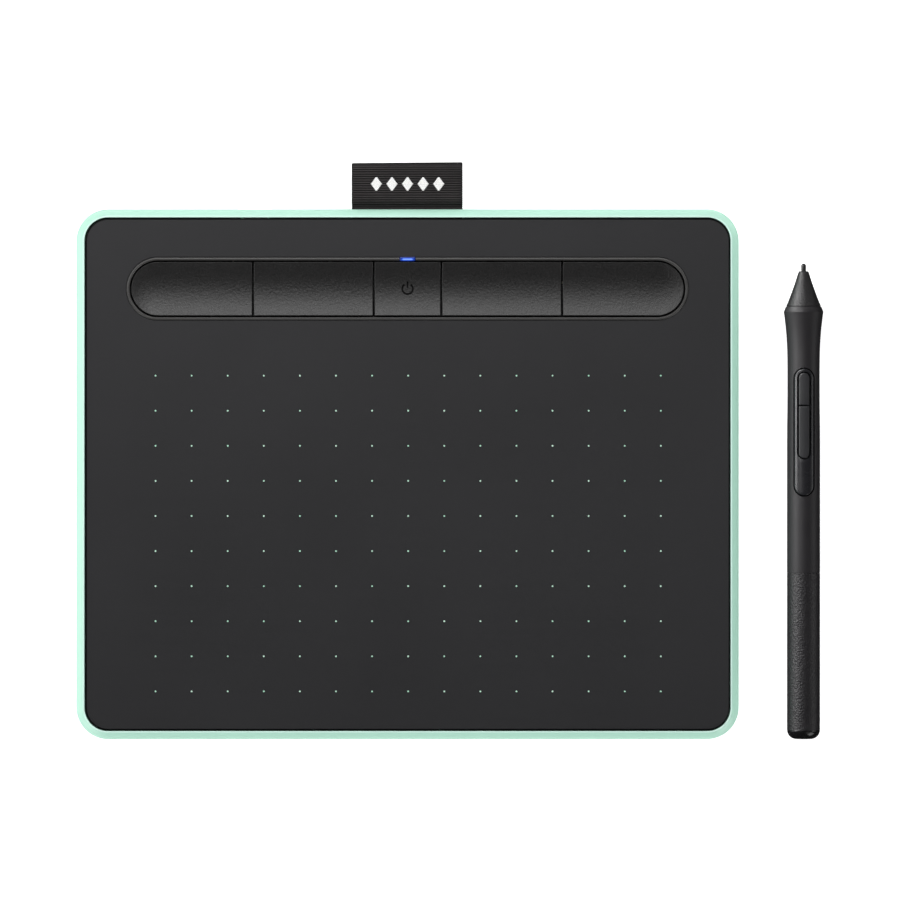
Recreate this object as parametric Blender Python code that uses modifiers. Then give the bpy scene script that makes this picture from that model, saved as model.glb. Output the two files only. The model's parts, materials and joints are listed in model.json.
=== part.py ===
"""Pen drawing tablet with its cordless pen, lying on a desk.

The tablet is a shallow green tub closed by a black top cover. A row of four concave keys and a power key
sits in a pill-shaped bezel along the rear and doubles as the pen tray. A woven pen loop leaves the rear wall.
The pen lies to the right of the tablet with its tip pointing to the rear.
Metres, +Z up, +X right, +Y to the rear. The origin is on the desk, at the centre of the set's footprint.
"""

import math

import bmesh
import bpy
from mathutils import Matrix, Vector

MM = 0.001

# ---- tablet, in millimetres, from the tablet's own centre on the desk ----
TABLET_W, TABLET_D, TABLET_R = 200.0, 160.0, 9.6
LIP_Z = 8.8                       # overall height above the desk
LIP_INSET = 2.5                   # green rim seen from above
CASE_BOTTOM_Z, CASE_FLOOR_Z = 0.6, 1.9
COVER_GAP = 0.35                  # around the black cover
COVER_Z0, COVER_Z1 = 6.85, 8.1
SHEET_Z0, SHEET_Z1 = 8.2, 8.5
POD_Y = 56.05                     # centre line of the key row
POD_W, POD_D = 169.6, 19.2        # outside of the key bezel
POD_IN_W, POD_IN_D = 167.4, 17.0  # inside of the key bezel
KEYS_W, KEYS_D = 166.4, 16.1      # the row of keys
KEY_SPLITS = (-46.65, -10.2, 10.2, 46.65)
KEY_GAP = 0.5
KEY_EDGE_Z, KEY_DISH_Z, KEY_BASE_Z = 8.5, 6.9, 5.0
KEY_TRAVEL = 0.5
SENSOR_W, SENSOR_D, SENSOR_Y = 162.0, 103.0, -17.9
BOARD_Z0, BOARD_Z1 = 2.1, 2.9
SCREWS = ((-87.5, 66.5), (87.5, 66.5), (-87.5, -66.5), (87.5, -66.5), (-89.0, 0.0), (89.0, 0.0))
FEET = (("rear_left", -80.0, 66.5), ("rear_right", 80.0, 66.5), ("front_left", -80.0, -66.5), ("front_right", 80.0, -66.5))
FOOT_W, FOOT_D, FOOT_TOP = 26.0, 9.0, 1.0
USB_X, USB_Z = -46.0, 4.35        # centre of the charging socket in the rear wall
LOOP_W, LOOP_REACH = 33.2, 14.0   # the woven loop's width, and how far it stands out behind
LOOP_T, LOOP_Z, LOOP_H = 0.9, 4.6, 6.6

# ---- pen, in millimetres from its tip, along its axis ----
PEN_X = 119.6                     # pen axis from the tablet's centre line
PEN_TIP_Y = 63.6
PEN_LENGTH = 143.45
PEN_FLARE_S, PEN_FLARE_R = 14.7, 5.97
PEN_BODY_R = 4.98
PEN_REAR_S = 140.4
NIB_R, NIB_LENGTH = 0.66, 23.0
NOSE_S = 12.85                    # joint between nose cone and grip barrel
REAR_S = 93.4                     # joint between grip barrel and rear barrel
PLATE_S0, PLATE_S1, PLATE_W = 31.5, 70.3, 6.4
SWITCH_S0, SWITCH_S1, SWITCH_W, SWITCH_SPLIT = 33.0, 58.8, 3.4, 42.9
PEN_STEPS = 24

# ---- where the two stand in the shared frame ----
SET_X = -(PEN_X + PEN_FLARE_R - TABLET_W / 2) / 2
SET_Y = -LOOP_REACH / 2

for old in list(bpy.data.objects):
    bpy.data.objects.remove(old, do_unlink=True)


def collection(name):
    made = bpy.data.collections.new(name)
    bpy.context.scene.collection.children.link(made)
    return made


PARTS = collection("pen_drawing_tablet")
CUTTERS = collection("cutters")


def material(name, rgb, roughness, metallic=0.0):
    made = bpy.data.materials.new(name)
    made.use_nodes = True
    shader = made.node_tree.nodes["Principled BSDF"]
    shader.inputs["Base Color"].default_value = (*rgb, 1.0)
    shader.inputs["Roughness"].default_value = roughness
    shader.inputs["Metallic"].default_value = metallic
    return made


GREEN = material("green_plastic", (0.53, 0.83, 0.69), 0.45)
BLACK = material("black_plastic", (0.035, 0.035, 0.038), 0.55)
SHEET = material("drawing_sheet", (0.036, 0.036, 0.039), 0.6)
KEYS = material("key_plastic", (0.03, 0.03, 0.03), 0.5)
RUBBER = material("rubber", (0.06, 0.065, 0.065), 0.85)
RIBBON = material("woven_ribbon", (0.02, 0.018, 0.018), 0.9)
STEEL = material("steel", (0.6, 0.6, 0.6), 0.35, 1.0)
PCB = material("circuit_board", (0.02, 0.16, 0.06), 0.45)
CHIP = material("chip_resin", (0.02, 0.02, 0.022), 0.5)
FOIL = material("battery_foil", (0.62, 0.63, 0.65), 0.35, 0.6)
CLEAR = material("light_guide", (0.35, 0.5, 0.95), 0.2)
WHITE = material("nylon_white", (0.8, 0.8, 0.76), 0.5)
COPPER = material("copper_winding", (0.72, 0.32, 0.15), 0.35, 1.0)
FILM = material("flex_film", (0.55, 0.25, 0.04), 0.4)
LEAD = material("lead_jacket", (0.35, 0.02, 0.02), 0.5)
PEN_SOFT = material("pen_grip", (0.035, 0.035, 0.038), 0.6)
PEN_HARD = material("pen_plastic", (0.025, 0.025, 0.028), 0.4)
NIB = material("nib_plastic", (0.04, 0.04, 0.04), 0.4)


def empty(name, location, rotation=(0.0, 0.0, 0.0)):
    made = bpy.data.objects.new(name, None)
    made.location = Vector(location) * MM
    made.rotation_euler = rotation
    PARTS.objects.link(made)
    return made


TABLET = empty("tablet_frame", (SET_X, SET_Y, 0.0))

# The pen rests on its flare and on its rear end, so its axis slopes by this angle.
PEN_TILT = math.atan2(PEN_FLARE_R - PEN_BODY_R, PEN_REAR_S - PEN_FLARE_S)
PEN_TIP_Z = PEN_FLARE_R * math.cos(PEN_TILT) + PEN_FLARE_S * math.sin(PEN_TILT)
PEN = empty("pen_frame", (SET_X + PEN_X, SET_Y + PEN_TIP_Y, PEN_TIP_Z), (PEN_TILT - math.pi / 2, 0.0, 0.0))
# In the pen's frame +Z points to the tip, which is at 0, and -Y points up.
LAID = Matrix.Rotation(math.pi / 2, 4, "X")   # a flat outline's Y runs along the pen, and its Z points up


def close_mesh(mesh, weld=1e-6):
    """Joins a curve's caps to its sides, and turns every face outwards."""
    bm = bmesh.new()
    bm.from_mesh(mesh)
    bmesh.ops.remove_doubles(bm, verts=bm.verts, dist=weld)
    bmesh.ops.recalc_face_normals(bm, faces=bm.faces)
    bm.to_mesh(mesh)
    bm.free()


def placed(name, mesh, frame, mat, helper=False, origin=None, matrix=None):
    """One object in its frame. origin, in millimetres, is where the object's own origin goes."""
    if matrix is not None:
        mesh.transform(matrix)
        if matrix.determinant() < 0:
            mesh.flip_normals()
    made = bpy.data.objects.new(name, mesh)
    if origin is not None:
        at = Vector(origin) * MM
        mesh.transform(Matrix.Translation(-at))
        made.location = at
    made.parent = frame
    mesh.shade_smooth()
    mesh.set_sharp_from_angle(angle=math.radians(30))
    if helper:
        CUTTERS.objects.link(made)
        made.hide_render = True
        made.display_type = "WIRE"
    else:
        mesh.materials.clear()
        mesh.materials.append(mat)
        PARTS.objects.link(made)
    return made


def rounded(w, d, r, n=6, cx=0.0, cy=0.0):
    """A rectangle with round corners, or a pill when r is half its width, counter-clockwise."""
    points = []
    for sx, sy, start in ((1, 1, 0.0), (-1, 1, 0.5), (-1, -1, 1.0), (1, -1, 1.5)):
        mx, my = cx + sx * (w / 2 - r), cy + sy * (d / 2 - r)
        for k in range(n + 1):
            a = math.pi * (start + 0.5 * k / n)
            p = (mx + r * math.cos(a), my + r * math.sin(a))
            if not points or math.dist(p, points[-1]) > 1e-4:
                points.append(p)
    if math.dist(points[0], points[-1]) < 1e-4:
        points.pop()
    return points


def circle(r, n, cx=0.0, cy=0.0):
    return [(cx + r * math.cos(2 * math.pi * k / n), cy + r * math.sin(2 * math.pi * k / n)) for k in range(n)]


def slab(name, outlines, z0, z1, frame, mat=None, helper=False, origin=None, matrix=None):
    """A flat piece: closed outlines, the inner ones being holes, with a thickness from z0 to z1."""
    curve = bpy.data.curves.new(name, "CURVE")
    curve.dimensions = "2D"
    curve.fill_mode = "BOTH"
    curve.extrude = (z1 - z0) / 2 * MM
    for outline in outlines:
        spline = curve.splines.new("POLY")
        spline.points.add(len(outline) - 1)
        for point, (x, y) in zip(spline.points, outline):
            point.co = (x * MM, y * MM, 0.0, 1.0)
        spline.use_cyclic_u = True
    flat = bpy.data.objects.new(name + "_outline", curve)
    CUTTERS.objects.link(flat)
    flat.location.z = (z0 + z1) / 2 * MM
    bpy.context.view_layer.update()
    mesh = bpy.data.meshes.new_from_object(flat.evaluated_get(bpy.context.evaluated_depsgraph_get()))
    mesh.transform(flat.matrix_world)
    bpy.data.objects.remove(flat, do_unlink=True)
    bpy.data.curves.remove(curve)
    close_mesh(mesh)
    mesh.name = name
    return placed(name, mesh, frame, mat, helper, origin, matrix)


def block(name, centre, size, frame, mat=None, helper=False, bevel=0.0, origin=None, matrix=None):
    bm = bmesh.new()
    bmesh.ops.create_cube(bm, size=1.0, matrix=Matrix.Translation(Vector(centre) * MM) @ Matrix.Diagonal((*(Vector(size) * MM), 1.0)))
    if bevel:
        bmesh.ops.bevel(bm, geom=bm.edges[:], offset=bevel * MM, segments=1, affect="EDGES")
    mesh = bpy.data.meshes.new(name)
    bm.to_mesh(mesh)
    bm.free()
    return placed(name, mesh, frame, mat, helper, origin, matrix)


def rod(name, r, z0, z1, frame, mat=None, at=(0.0, 0.0), n=16, helper=False, origin=None, matrix=None):
    bm = bmesh.new()
    bmesh.ops.create_cone(bm, cap_ends=True, segments=n, radius1=r * MM, radius2=r * MM, depth=(z1 - z0) * MM,
                          matrix=Matrix.Translation(Vector((at[0], at[1], (z0 + z1) / 2)) * MM))
    mesh = bpy.data.meshes.new(name)
    bm.to_mesh(mesh)
    bm.free()
    return placed(name, mesh, frame, mat, helper, origin, matrix)


def turned(name, profile, frame, mat=None, steps=PEN_STEPS, helper=False, at=(0.0, 0.0, 0.0), origin=None):
    """A turned piece: a profile of (radius, height) run round Z. A profile with no point on the axis is closed."""
    mesh = bpy.data.meshes.new(name)
    links = [(i, i + 1) for i in range(len(profile) - 1)]
    if min(r for r, _ in profile) > 1e-6:
        links.append((len(profile) - 1, 0))
    mesh.from_pydata([(r * MM, 0.0, z * MM) for r, z in profile], links, [])
    guide = bpy.data.objects.new(name + "_profile", mesh)
    CUTTERS.objects.link(guide)
    screw = guide.modifiers.new("turn", "SCREW")
    screw.steps = screw.render_steps = steps
    screw.use_merge_vertices = True
    screw.merge_threshold = 1e-6
    bpy.context.view_layer.update()
    solid = bpy.data.meshes.new_from_object(guide.evaluated_get(bpy.context.evaluated_depsgraph_get()))
    bpy.data.objects.remove(guide, do_unlink=True)
    close_mesh(solid)
    solid.transform(Matrix.Translation(Vector(at) * MM))
    solid.name = name
    return placed(name, solid, frame, mat, helper, origin)


def loft(name, rings, frame, mat=None, ring_shaped=False, helper=False, origin=None):
    """A skin over outlines at rising or falling heights, closed by flat ends, or back on itself if ring_shaped."""
    bm = bmesh.new()
    loops = [[bm.verts.new((x * MM, y * MM, z * MM)) for x, y in outline] for outline, z in rings]
    pairs = list(zip(loops, loops[1:] + ([loops[0]] if ring_shaped else [])))
    for low, high in pairs[: len(rings) if ring_shaped else len(rings) - 1]:
        for k in range(len(low)):
            bm.faces.new((low[k - 1], low[k], high[k], high[k - 1]))
    if not ring_shaped:
        bm.faces.new(loops[0])
        bm.faces.new(loops[-1])
    bmesh.ops.recalc_face_normals(bm, faces=bm.faces)
    mesh = bpy.data.meshes.new(name)
    bm.to_mesh(mesh)
    bm.free()
    return placed(name, mesh, frame, mat, helper, origin)


def combine(target, operation, *tools):
    for tool in tools:
        change = target.modifiers.new(operation.lower() + "_" + tool.name, "BOOLEAN")
        change.operation = operation
        change.object = tool
    return target


def cut(target, *tools):
    return combine(target, "DIFFERENCE", *tools)


def join(target, *tools):
    return combine(target, "UNION", *tools)


# ------------------------------------------------------------------ case
def case_ring(inset, z):
    return rounded(TABLET_W - 2 * inset, TABLET_D - 2 * inset, max(TABLET_R - inset, 2.0), 6), z


# Up the outside from the underside to the chamfered rim, over the flat lip and down inside to the floor.
CASE_PROFILE = ((5.0, CASE_BOTTOM_Z), (2.6, 0.95), (1.1, 1.75), (0.3, 2.9), (0.0, 4.3), (0.0, 6.3), (0.35, 7.15),
                (2.05, LIP_Z), (LIP_INSET, LIP_Z), (LIP_INSET, 3.2), (4.2, CASE_FLOOR_Z))
bottom_case = loft("bottom_case", [case_ring(*p) for p in CASE_PROFILE], TABLET, GREEN)

for i, (x, y) in enumerate(SCREWS):
    join(bottom_case, rod(f"case_boss_{i}", 3.2, 1.5, 4.9, TABLET, at=(x, y), n=12, helper=True))
for i, (x, y0, y1) in enumerate(((-66.0, -66.0, 30.0), (14.0, -66.0, 30.0), (66.0, -66.0, 30.0))):
    join(bottom_case, block(f"case_rib_{i}", (x, (y0 + y1) / 2, 3.45), (1.4, y1 - y0, 3.9), TABLET, helper=True))
for i, (x, y) in enumerate(((-70.0, 41.0), (70.0, 41.0), (-26.0, 70.5), (26.0, 70.5))):
    join(bottom_case, rod(f"board_post_{i}", 2.2, 1.5, 2.0, TABLET, at=(x, y), n=10, helper=True))
# the battery's tray walls, with a gap for its lead
for i, (x, y, w, d) in enumerate(((-28.0, -41.5, 56.0, 1.2), (-54.5, 1.5, 5.0, 1.2), (-23.5, 1.5, 47.0, 1.2))):
    join(bottom_case, block(f"battery_wall_{i}", (x, y, 2.7), (w, d, 2.4), TABLET, helper=True))
for i, (x, y) in enumerate(SCREWS):
    cut(bottom_case, rod(f"screw_seat_{i}", 2.35, 0.0, 2.4, TABLET, at=(x, y), n=12, helper=True))
    cut(bottom_case, rod(f"screw_hole_{i}", 1.3, 2.0, 6.0, TABLET, at=(x, y), n=12, helper=True))
for side, x, y in FEET:
    cut(bottom_case, slab(f"foot_recess_{side}", [rounded(FOOT_W + 0.6, FOOT_D + 0.6, (FOOT_D + 0.6) / 2, 6, x, y)], 0.0, 1.1, TABLET, helper=True))
# charging socket mouth and the loop's slot, both through the rear wall

def rear_prism(name, outline, y0, y1):
    """A prism through the rear wall: the outline is in X and Z."""
    made = slab(name, [[(x, z) for x, z in outline]], -y1, -y0, TABLET, helper=True, matrix=Matrix.Rotation(math.pi / 2, 4, "X"))
    return made


cut(bottom_case, rear_prism("usb_mouth", rounded(8.8, 3.5, 1.0, 3, USB_X, USB_Z), 75.0, 82.0))
cut(bottom_case, rear_prism("usb_finger_recess", rounded(10.8, 3.9, 1.3, 3, USB_X, USB_Z), 79.3, 82.0))
cut(bottom_case, rear_prism("loop_slot", rounded(LOOP_W + 1.2, 2.9, 1.0, 3, 0.0, LOOP_Z), 75.0, 82.0))

# ------------------------------------------------------------------ top cover, sheet and key bezel
COVER_W, COVER_D = TABLET_W - 2 * (LIP_INSET + COVER_GAP), TABLET_D - 2 * (LIP_INSET + COVER_GAP)
COVER_R = TABLET_R - LIP_INSET - COVER_GAP
top_cover = slab("top_cover", [rounded(COVER_W, COVER_D, COVER_R, 6), rounded(POD_W + 0.6, POD_D + 0.6, POD_D / 2 + 0.3, 8, 0.0, POD_Y)],
                 COVER_Z0, COVER_Z1, TABLET, BLACK)
for i, (x, y) in enumerate(SCREWS):
    join(top_cover, rod(f"cover_boss_{i}", 2.7, 5.1, 7.2, TABLET, at=(x, y), n=12, helper=True))
    cut(top_cover, rod(f"cover_boss_hole_{i}", 1.3, 5.0, 6.7, TABLET, at=(x, y), n=12, helper=True))
surface_sheet = slab("surface_sheet", [rounded(COVER_W, COVER_D, COVER_R, 6), rounded(POD_W + 0.7, POD_D + 0.7, POD_D / 2 + 0.35, 8, 0.0, POD_Y)],
                     SHEET_Z0, SHEET_Z1, TABLET, SHEET)


def pod_ring(grow, z):
    return rounded(POD_W + 2 * grow, POD_D + 2 * grow, POD_D / 2 + grow, 8, 0.0, POD_Y), z


IN = (POD_IN_D - POD_D) / 2
key_bezel = loft("key_bezel", [pod_ring(1.7, 5.9), pod_ring(1.7, 6.6), pod_ring(0.0, 6.6), pod_ring(0.0, 8.5), pod_ring(-0.3, LIP_Z),
                               pod_ring(IN + 0.3, LIP_Z), pod_ring(IN, 8.55), pod_ring(IN, 5.9)], TABLET, BLACK, ring_shaped=True)
cut(key_bezel, block("light_slot", (0.0, POD_Y + 10.2, 7.4), (4.4, 4.6, 5.0), TABLET, helper=True))
LIGHT_Y = POD_Y + (POD_IN_D + POD_D) / 4
light_guide = slab("light_guide", [[(-1.9, 8.7), (-1.9, 5.6), (-4.0, 5.6), (-4.0, 4.5), (4.0, 4.5), (4.0, 5.6), (1.9, 5.6), (1.9, 8.7)]],
                   -LIGHT_Y - 0.4, -LIGHT_Y + 0.4, TABLET, CLEAR, matrix=Matrix.Rotation(math.pi / 2, 4, "X"))
block("status_led", (0.0, LIGHT_Y, 3.5), (1.6, 0.9, 0.8), TABLET, WHITE)

# ------------------------------------------------------------------ keys
R_END = KEYS_D / 2


def dish_ring(half):
    """The level line of the key row's dished top, this far from its spine."""
    z = KEY_DISH_Z + (KEY_EDGE_Z - KEY_DISH_Z) * (half / R_END) ** 2
    return rounded(KEYS_W - KEYS_D + 2 * half, 2 * half, half, 8, 0.0, POD_Y), z


dish = loft("key_dish", [dish_ring(R_END * k / 5) for k in (0.2, 1, 2, 3, 4, 5, 6.2)], TABLET, helper=True)


def key_outline(x0, x1):
    """The part of the pill-shaped key row between two splits."""
    half, spine = R_END, KEYS_W / 2 - R_END
    points = []
    if x1 is None:
        points += [(spine + half * math.sin(a), POD_Y - half * math.cos(a)) for a in (math.pi * k / 16 for k in range(17))]
    else:
        points += [(x1, POD_Y - half), (x1, POD_Y + half)]
    if x0 is None:
        points += [(-spine - half * math.sin(a), POD_Y + half * math.cos(a)) for a in (math.pi * k / 16 for k in range(17))]
    else:
        points += [(x0, POD_Y + half), (x0, POD_Y - half)]
    return points


a, b, c, d = KEY_SPLITS
G = KEY_GAP / 2
KEY_ROW = (("key_left_outer", None, a - G, -64.0), ("key_left_inner", a + G, b - G, (a + b) / 2), ("power_key", b + G, c - G, 0.0),
           ("key_right_inner", c + G, d - G, (c + d) / 2), ("key_right_outer", d + G, None, 64.0))
for name, x0, x1, cx in KEY_ROW:
    key = slab(name, [key_outline(x0, x1)], KEY_BASE_Z, 8.6, TABLET, KEYS, origin=(cx, POD_Y, KEY_BASE_Z))
    cut(key, dish)
    # lugs that catch under the bezel, and the plunger over the switch
    for i, (at, w) in enumerate(((-6.6, 4.2), (6.6, 4.2)) if name == "power_key" else ((0.0, 9.0),)):
        join(key, block(f"{name}_lug_{i}", (cx + at, POD_Y, KEY_BASE_Z + 0.37), (w, KEYS_D + 2.3, 0.74), TABLET, helper=True))
    join(key, rod(name + "_plunger", 2.0, 4.4, 5.2, TABLET, at=(cx, POD_Y), n=12, helper=True))
    switch = name.replace("key_", "").replace("_key", "") + "_key_switch"
    block(switch, (cx, POD_Y, 3.4), (4.6, 4.6, 0.8), TABLET, CHIP, bevel=0.15)

# ------------------------------------------------------------------ boards, battery and socket
sensor_shield = slab("sensor_shield", [rounded(SENSOR_W - 4, SENSOR_D - 3, 2.0, 2, 0.0, SENSOR_Y)], 5.5, 5.8, TABLET, STEEL)
slab("sensor_board", [rounded(SENSOR_W, SENSOR_D, 2.0, 2, 0.0, SENSOR_Y)], 5.95, 6.65, TABLET, PCB)
slab("control_board", [[(-78, 37), (78, 37), (78, 75.3), (20, 75.3), (20, 67.5), (-20, 67.5), (-20, 75.3), (-78, 75.3)]], BOARD_Z0, BOARD_Z1, TABLET, PCB)
block("processor_chip", (-26.0, 63.2, 3.4), (7.0, 7.0, 0.8), TABLET, CHIP, bevel=0.1)
block("wireless_module", (60.0, 70.2, 3.85), (14.0, 9.0, 1.7), TABLET, STEEL, bevel=0.2)
block("flex_connector", (40.0, 40.6, 3.6), (24.0, 3.2, 1.2), TABLET, WHITE)
block("battery_connector", (-40.0, 41.0, 3.9), (6.0, 4.0, 1.8), TABLET, WHITE)
block("battery_cell", (-28.0, -20.0, 3.6), (52.0, 36.0, 2.8), TABLET, FOIL, bevel=0.5)

usb_socket = block("usb_socket", (USB_X, 76.1, USB_Z), (7.6, 5.4, 2.6), TABLET, STEEL)
cut(usb_socket, block("usb_cavity", (USB_X, 76.7, USB_Z), (7.0, 5.6, 2.0), TABLET, helper=True))
block("usb_contact_tongue", (USB_X, 76.2, USB_Z + 0.2), (4.6, 3.9, 0.5), TABLET, CHIP)


def smooth_route(through, per_span=4):
    """Points along one smooth curve through the given points."""
    pts = [Vector(p) for p in through]
    pts = [2 * pts[0] - pts[1], *pts, 2 * pts[-1] - pts[-2]]
    out = []
    for p0, p1, p2, p3 in zip(pts, pts[1:], pts[2:], pts[3:]):
        for k in range(per_span):
            t = k / per_span
            out.append(0.5 * ((2 * p1) + (p2 - p0) * t + (2 * p0 - 5 * p1 + 4 * p2 - p3) * t * t + (3 * p1 - p0 - 3 * p2 + p3) * t ** 3))
    out.append(pts[-2])
    return out


def tube(name, through, r, frame, mat, per_span=4):
    curve = bpy.data.curves.new(name, "CURVE")
    curve.dimensions = "3D"
    curve.bevel_depth = r * MM
    curve.bevel_resolution = 2
    curve.use_fill_caps = True
    route = smooth_route(through, per_span)
    spline = curve.splines.new("POLY")
    spline.points.add(len(route) - 1)
    for point, p in zip(spline.points, route):
        point.co = (*(p * MM), 1.0)
    made = bpy.data.objects.new(name, curve)
    curve.materials.append(mat)
    made.parent = frame
    PARTS.objects.link(made)
    return made


# The battery's lead, clipped along the case floor from the cell to its connector.
tube("battery_lead", ((-49.5, -1.7, 3.4), (-49.5, 3.5, 3.2), (-51.0, 10.0, 2.9), (-52.5, 19.0, 2.9), (-48.0, 28.5, 3.0), (-41.5, 34.0, 3.7), (-40.0, 38.7, 4.0)),
     0.7, TABLET, LEAD, 3)


def band(name, line, thick, x0, x1, frame, mat, closed=False):
    """A strip of constant thickness whose middle line is in Y and Z, running from x0 to x1."""
    n = len(line)
    left, right = [], []
    for i, (y, z) in enumerate(line):
        before = line[i - 1] if (closed or i) else line[i]
        after = line[(i + 1) % n] if (closed or i < n - 1) else line[i]
        ty, tz = after[0] - before[0], after[1] - before[1]
        length = math.hypot(ty, tz)
        ny, nz = -tz / length, ty / length
        left.append((y + ny * thick / 2, z + nz * thick / 2))
        right.append((y - ny * thick / 2, z - nz * thick / 2))
    outlines = [left, right] if closed else [left + right[::-1]]
    turn = Matrix(((0, 0, 1, 0), (1, 0, 0, 0), (0, 1, 0, 0), (0, 0, 0, 1)))   # the outline's X, Y become Y, Z
    return slab(name, outlines, x0, x1, frame, mat, matrix=turn)


flex_line = [(p.x, p.y) for p in smooth_route(((32.5, 5.75, 0), (34.8, 5.65, 0), (36.4, 5.0, 0), (36.9, 4.2, 0), (37.7, 3.65, 0), (38.8, 3.6, 0)), 3)]
band("sensor_flex", flex_line, 0.14, 32.0, 48.0, TABLET, FILM)

# ------------------------------------------------------------------ pen loop
LOOP_TIP = TABLET_D / 2 + LOOP_REACH - LOOP_T / 2
TOP, NECK = LOOP_H / 2 - LOOP_T / 2, 0.72
upper = [(71.2, 1.15), (72.6, 1.3), (74.2, 1.05), (76.0, NECK), (79.0, NECK), (81.0, 0.95), (82.4, 1.9), (84.0, TOP - 0.12),
         (86.2, TOP), (88.9, TOP), (91.15, TOP - 0.22), (92.8, 1.8), (LOOP_TIP, 0.0)]
route = smooth_route([(y, z, 0) for y, z in upper], 3)
over = [(p.x, LOOP_Z + p.y) for p in route[:-1]]
under = [(y, 2 * LOOP_Z - z) for y, z in over[::-1]]
loop_line = over + [(LOOP_TIP, LOOP_Z)] + under + [(70.1, LOOP_Z - 0.55), (69.95, LOOP_Z), (70.1, LOOP_Z + 0.55)]
band("pen_loop", loop_line, LOOP_T, -LOOP_W / 2, LOOP_W / 2, TABLET, RIBBON, closed=True)
rod("loop_anchor_bar", 0.55, -18.6, 18.6, TABLET, STEEL, at=(71.5, LOOP_Z), n=12,
    matrix=Matrix(((0, 0, 1, 0), (1, 0, 0, 0), (0, 1, 0, 0), (0, 0, 0, 1))))

# ------------------------------------------------------------------ feet and screws
for side, x, y in FEET:
    loft(f"foot_{side}", [(rounded(FOOT_W - 0.6, FOOT_D - 0.6, FOOT_D / 2 - 0.3, 6, x, y), 0.0), (rounded(FOOT_W, FOOT_D, FOOT_D / 2, 6, x, y), 0.3),
                          (rounded(FOOT_W, FOOT_D, FOOT_D / 2, 6, x, y), FOOT_TOP)], TABLET, RUBBER)
for i, (x, y) in enumerate(SCREWS, 1):
    turned(f"case_screw_{i}", [(0.0, 6.3), (0.9, 6.0), (0.9, 2.3), (2.0, 2.3), (2.0, 1.5), (1.6, 1.3), (0.0, 1.3)], TABLET, STEEL, steps=12, at=(x, y, 0.0))


# ------------------------------------------------------------------ pen
def along(points):
    """(radius, distance from the tip) pairs as a profile that runs down from the tip."""
    return [(r, -s) for r, s in points]


turned("nib", along([(0.0, 0.0), (0.3, 0.08), (0.5, 0.4), (0.62, 0.9), (NIB_R, 1.5), (NIB_R, NIB_LENGTH - 0.3), (0.45, NIB_LENGTH), (0.0, NIB_LENGTH)]),
       PEN, NIB, steps=12)
turned("nib_holder", along([(0.98, 19.0), (1.3, 19.0), (1.3, 26.35), (2.4, 26.35), (2.4, 27.5), (0.4, 27.5), (0.4, 23.4), (0.98, 23.4)]), PEN, WHITE, steps=16)
NOSE = [(0.96, 2.35), (1.25, 2.38), (1.5, 2.85), (1.92, 4.0), (2.6, 6.1), (3.3, 8.2), (3.98, 10.1), (4.65, 11.75), (5.28, NOSE_S)]
turned("nose_cone", along(NOSE + [(3.7, NOSE_S), (3.7, 15.5), (2.9, 15.5), (2.9, 12.4), (1.9, 8.0), (0.96, 5.0)]), PEN, PEN_HARD)
GRIP = [(5.33, NOSE_S + 0.12), (5.75, 13.9), (PEN_FLARE_R - 0.02, 14.5), (PEN_FLARE_R, PEN_FLARE_S), (5.86, 15.3), (5.7, 16.4), (5.48, 18.2), (5.28, 20.6),
        (5.1, 22.9), (4.97, 25.0), (4.91, 27.2), (4.87, 30.5), (4.855, 36.0), (4.87, 41.0), (4.92, 47.0), (4.965, 51.5), (PEN_BODY_R, 60.0), (PEN_BODY_R, REAR_S - 0.1)]
grip_barrel = turned("grip_barrel", along(GRIP + [(4.35, REAR_S - 0.1), (4.35, REAR_S + 5.6), (4.0, REAR_S + 5.6), (4.0, NOSE_S + 0.12)]), PEN, PEN_SOFT)


def pen_pill(name, w, s0, s1, up0, up1, grow=0.0, helper=True, mat=None):
    """A pill-shaped prism over the pen's upper side, from s0 to s1 along it."""
    w, s0, s1 = w + 2 * grow, s0 - grow, s1 + grow
    return slab(name, [rounded(w, s1 - s0, w / 2, 6, 0.0, -(s0 + s1) / 2)], up0, up1, PEN, mat, helper=helper, matrix=LAID)


cut(grip_barrel, pen_pill("switch_plate_opening", PLATE_W, PLATE_S0, PLATE_S1, 1.5, 7.0, grow=0.15))
plate_tube = along([(5.06, PLATE_S0 - 1), (5.06, PLATE_S1 + 1), (4.06, PLATE_S1 + 1), (4.06, PLATE_S0 - 1)])
switch_plate = turned("switch_plate", plate_tube, PEN, PEN_HARD, steps=36)
combine(switch_plate, "INTERSECT", pen_pill("switch_plate_outline", PLATE_W, PLATE_S0, PLATE_S1, 1.5, 7.0, grow=-0.15))
cut(switch_plate, pen_pill("switch_slot", SWITCH_W, SWITCH_S0, SWITCH_S1, 1.5, 7.0, grow=0.25))


def pen_button(name, s0, s1, round_front):
    """One half of the side switch: round at its outer end, flat where the two meet."""
    r, outline = SWITCH_W / 2, []
    if round_front:
        outline += [(r * math.cos(t), -(s0 + r) + r * math.sin(t)) for t in (math.pi * k / 10 for k in range(11))] + [(-r, -s1), (r, -s1)]
    else:
        outline += [(-r, -s0)] + [(r * math.cos(t), -(s1 - r) + r * math.sin(t)) for t in (math.pi + math.pi * k / 10 for k in range(11))] + [(r, -s0)]
    button = slab(name, [outline], 3.3, 6.0, PEN, PEN_HARD, origin=(0.0, -4.4, -(s0 + s1) / 2), matrix=LAID)
    combine(button, "INTERSECT", rod(name + "_crown", 5.34, -SWITCH_S1 - 2, -SWITCH_S0 + 2, PEN, n=48, helper=True))
    return button


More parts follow.
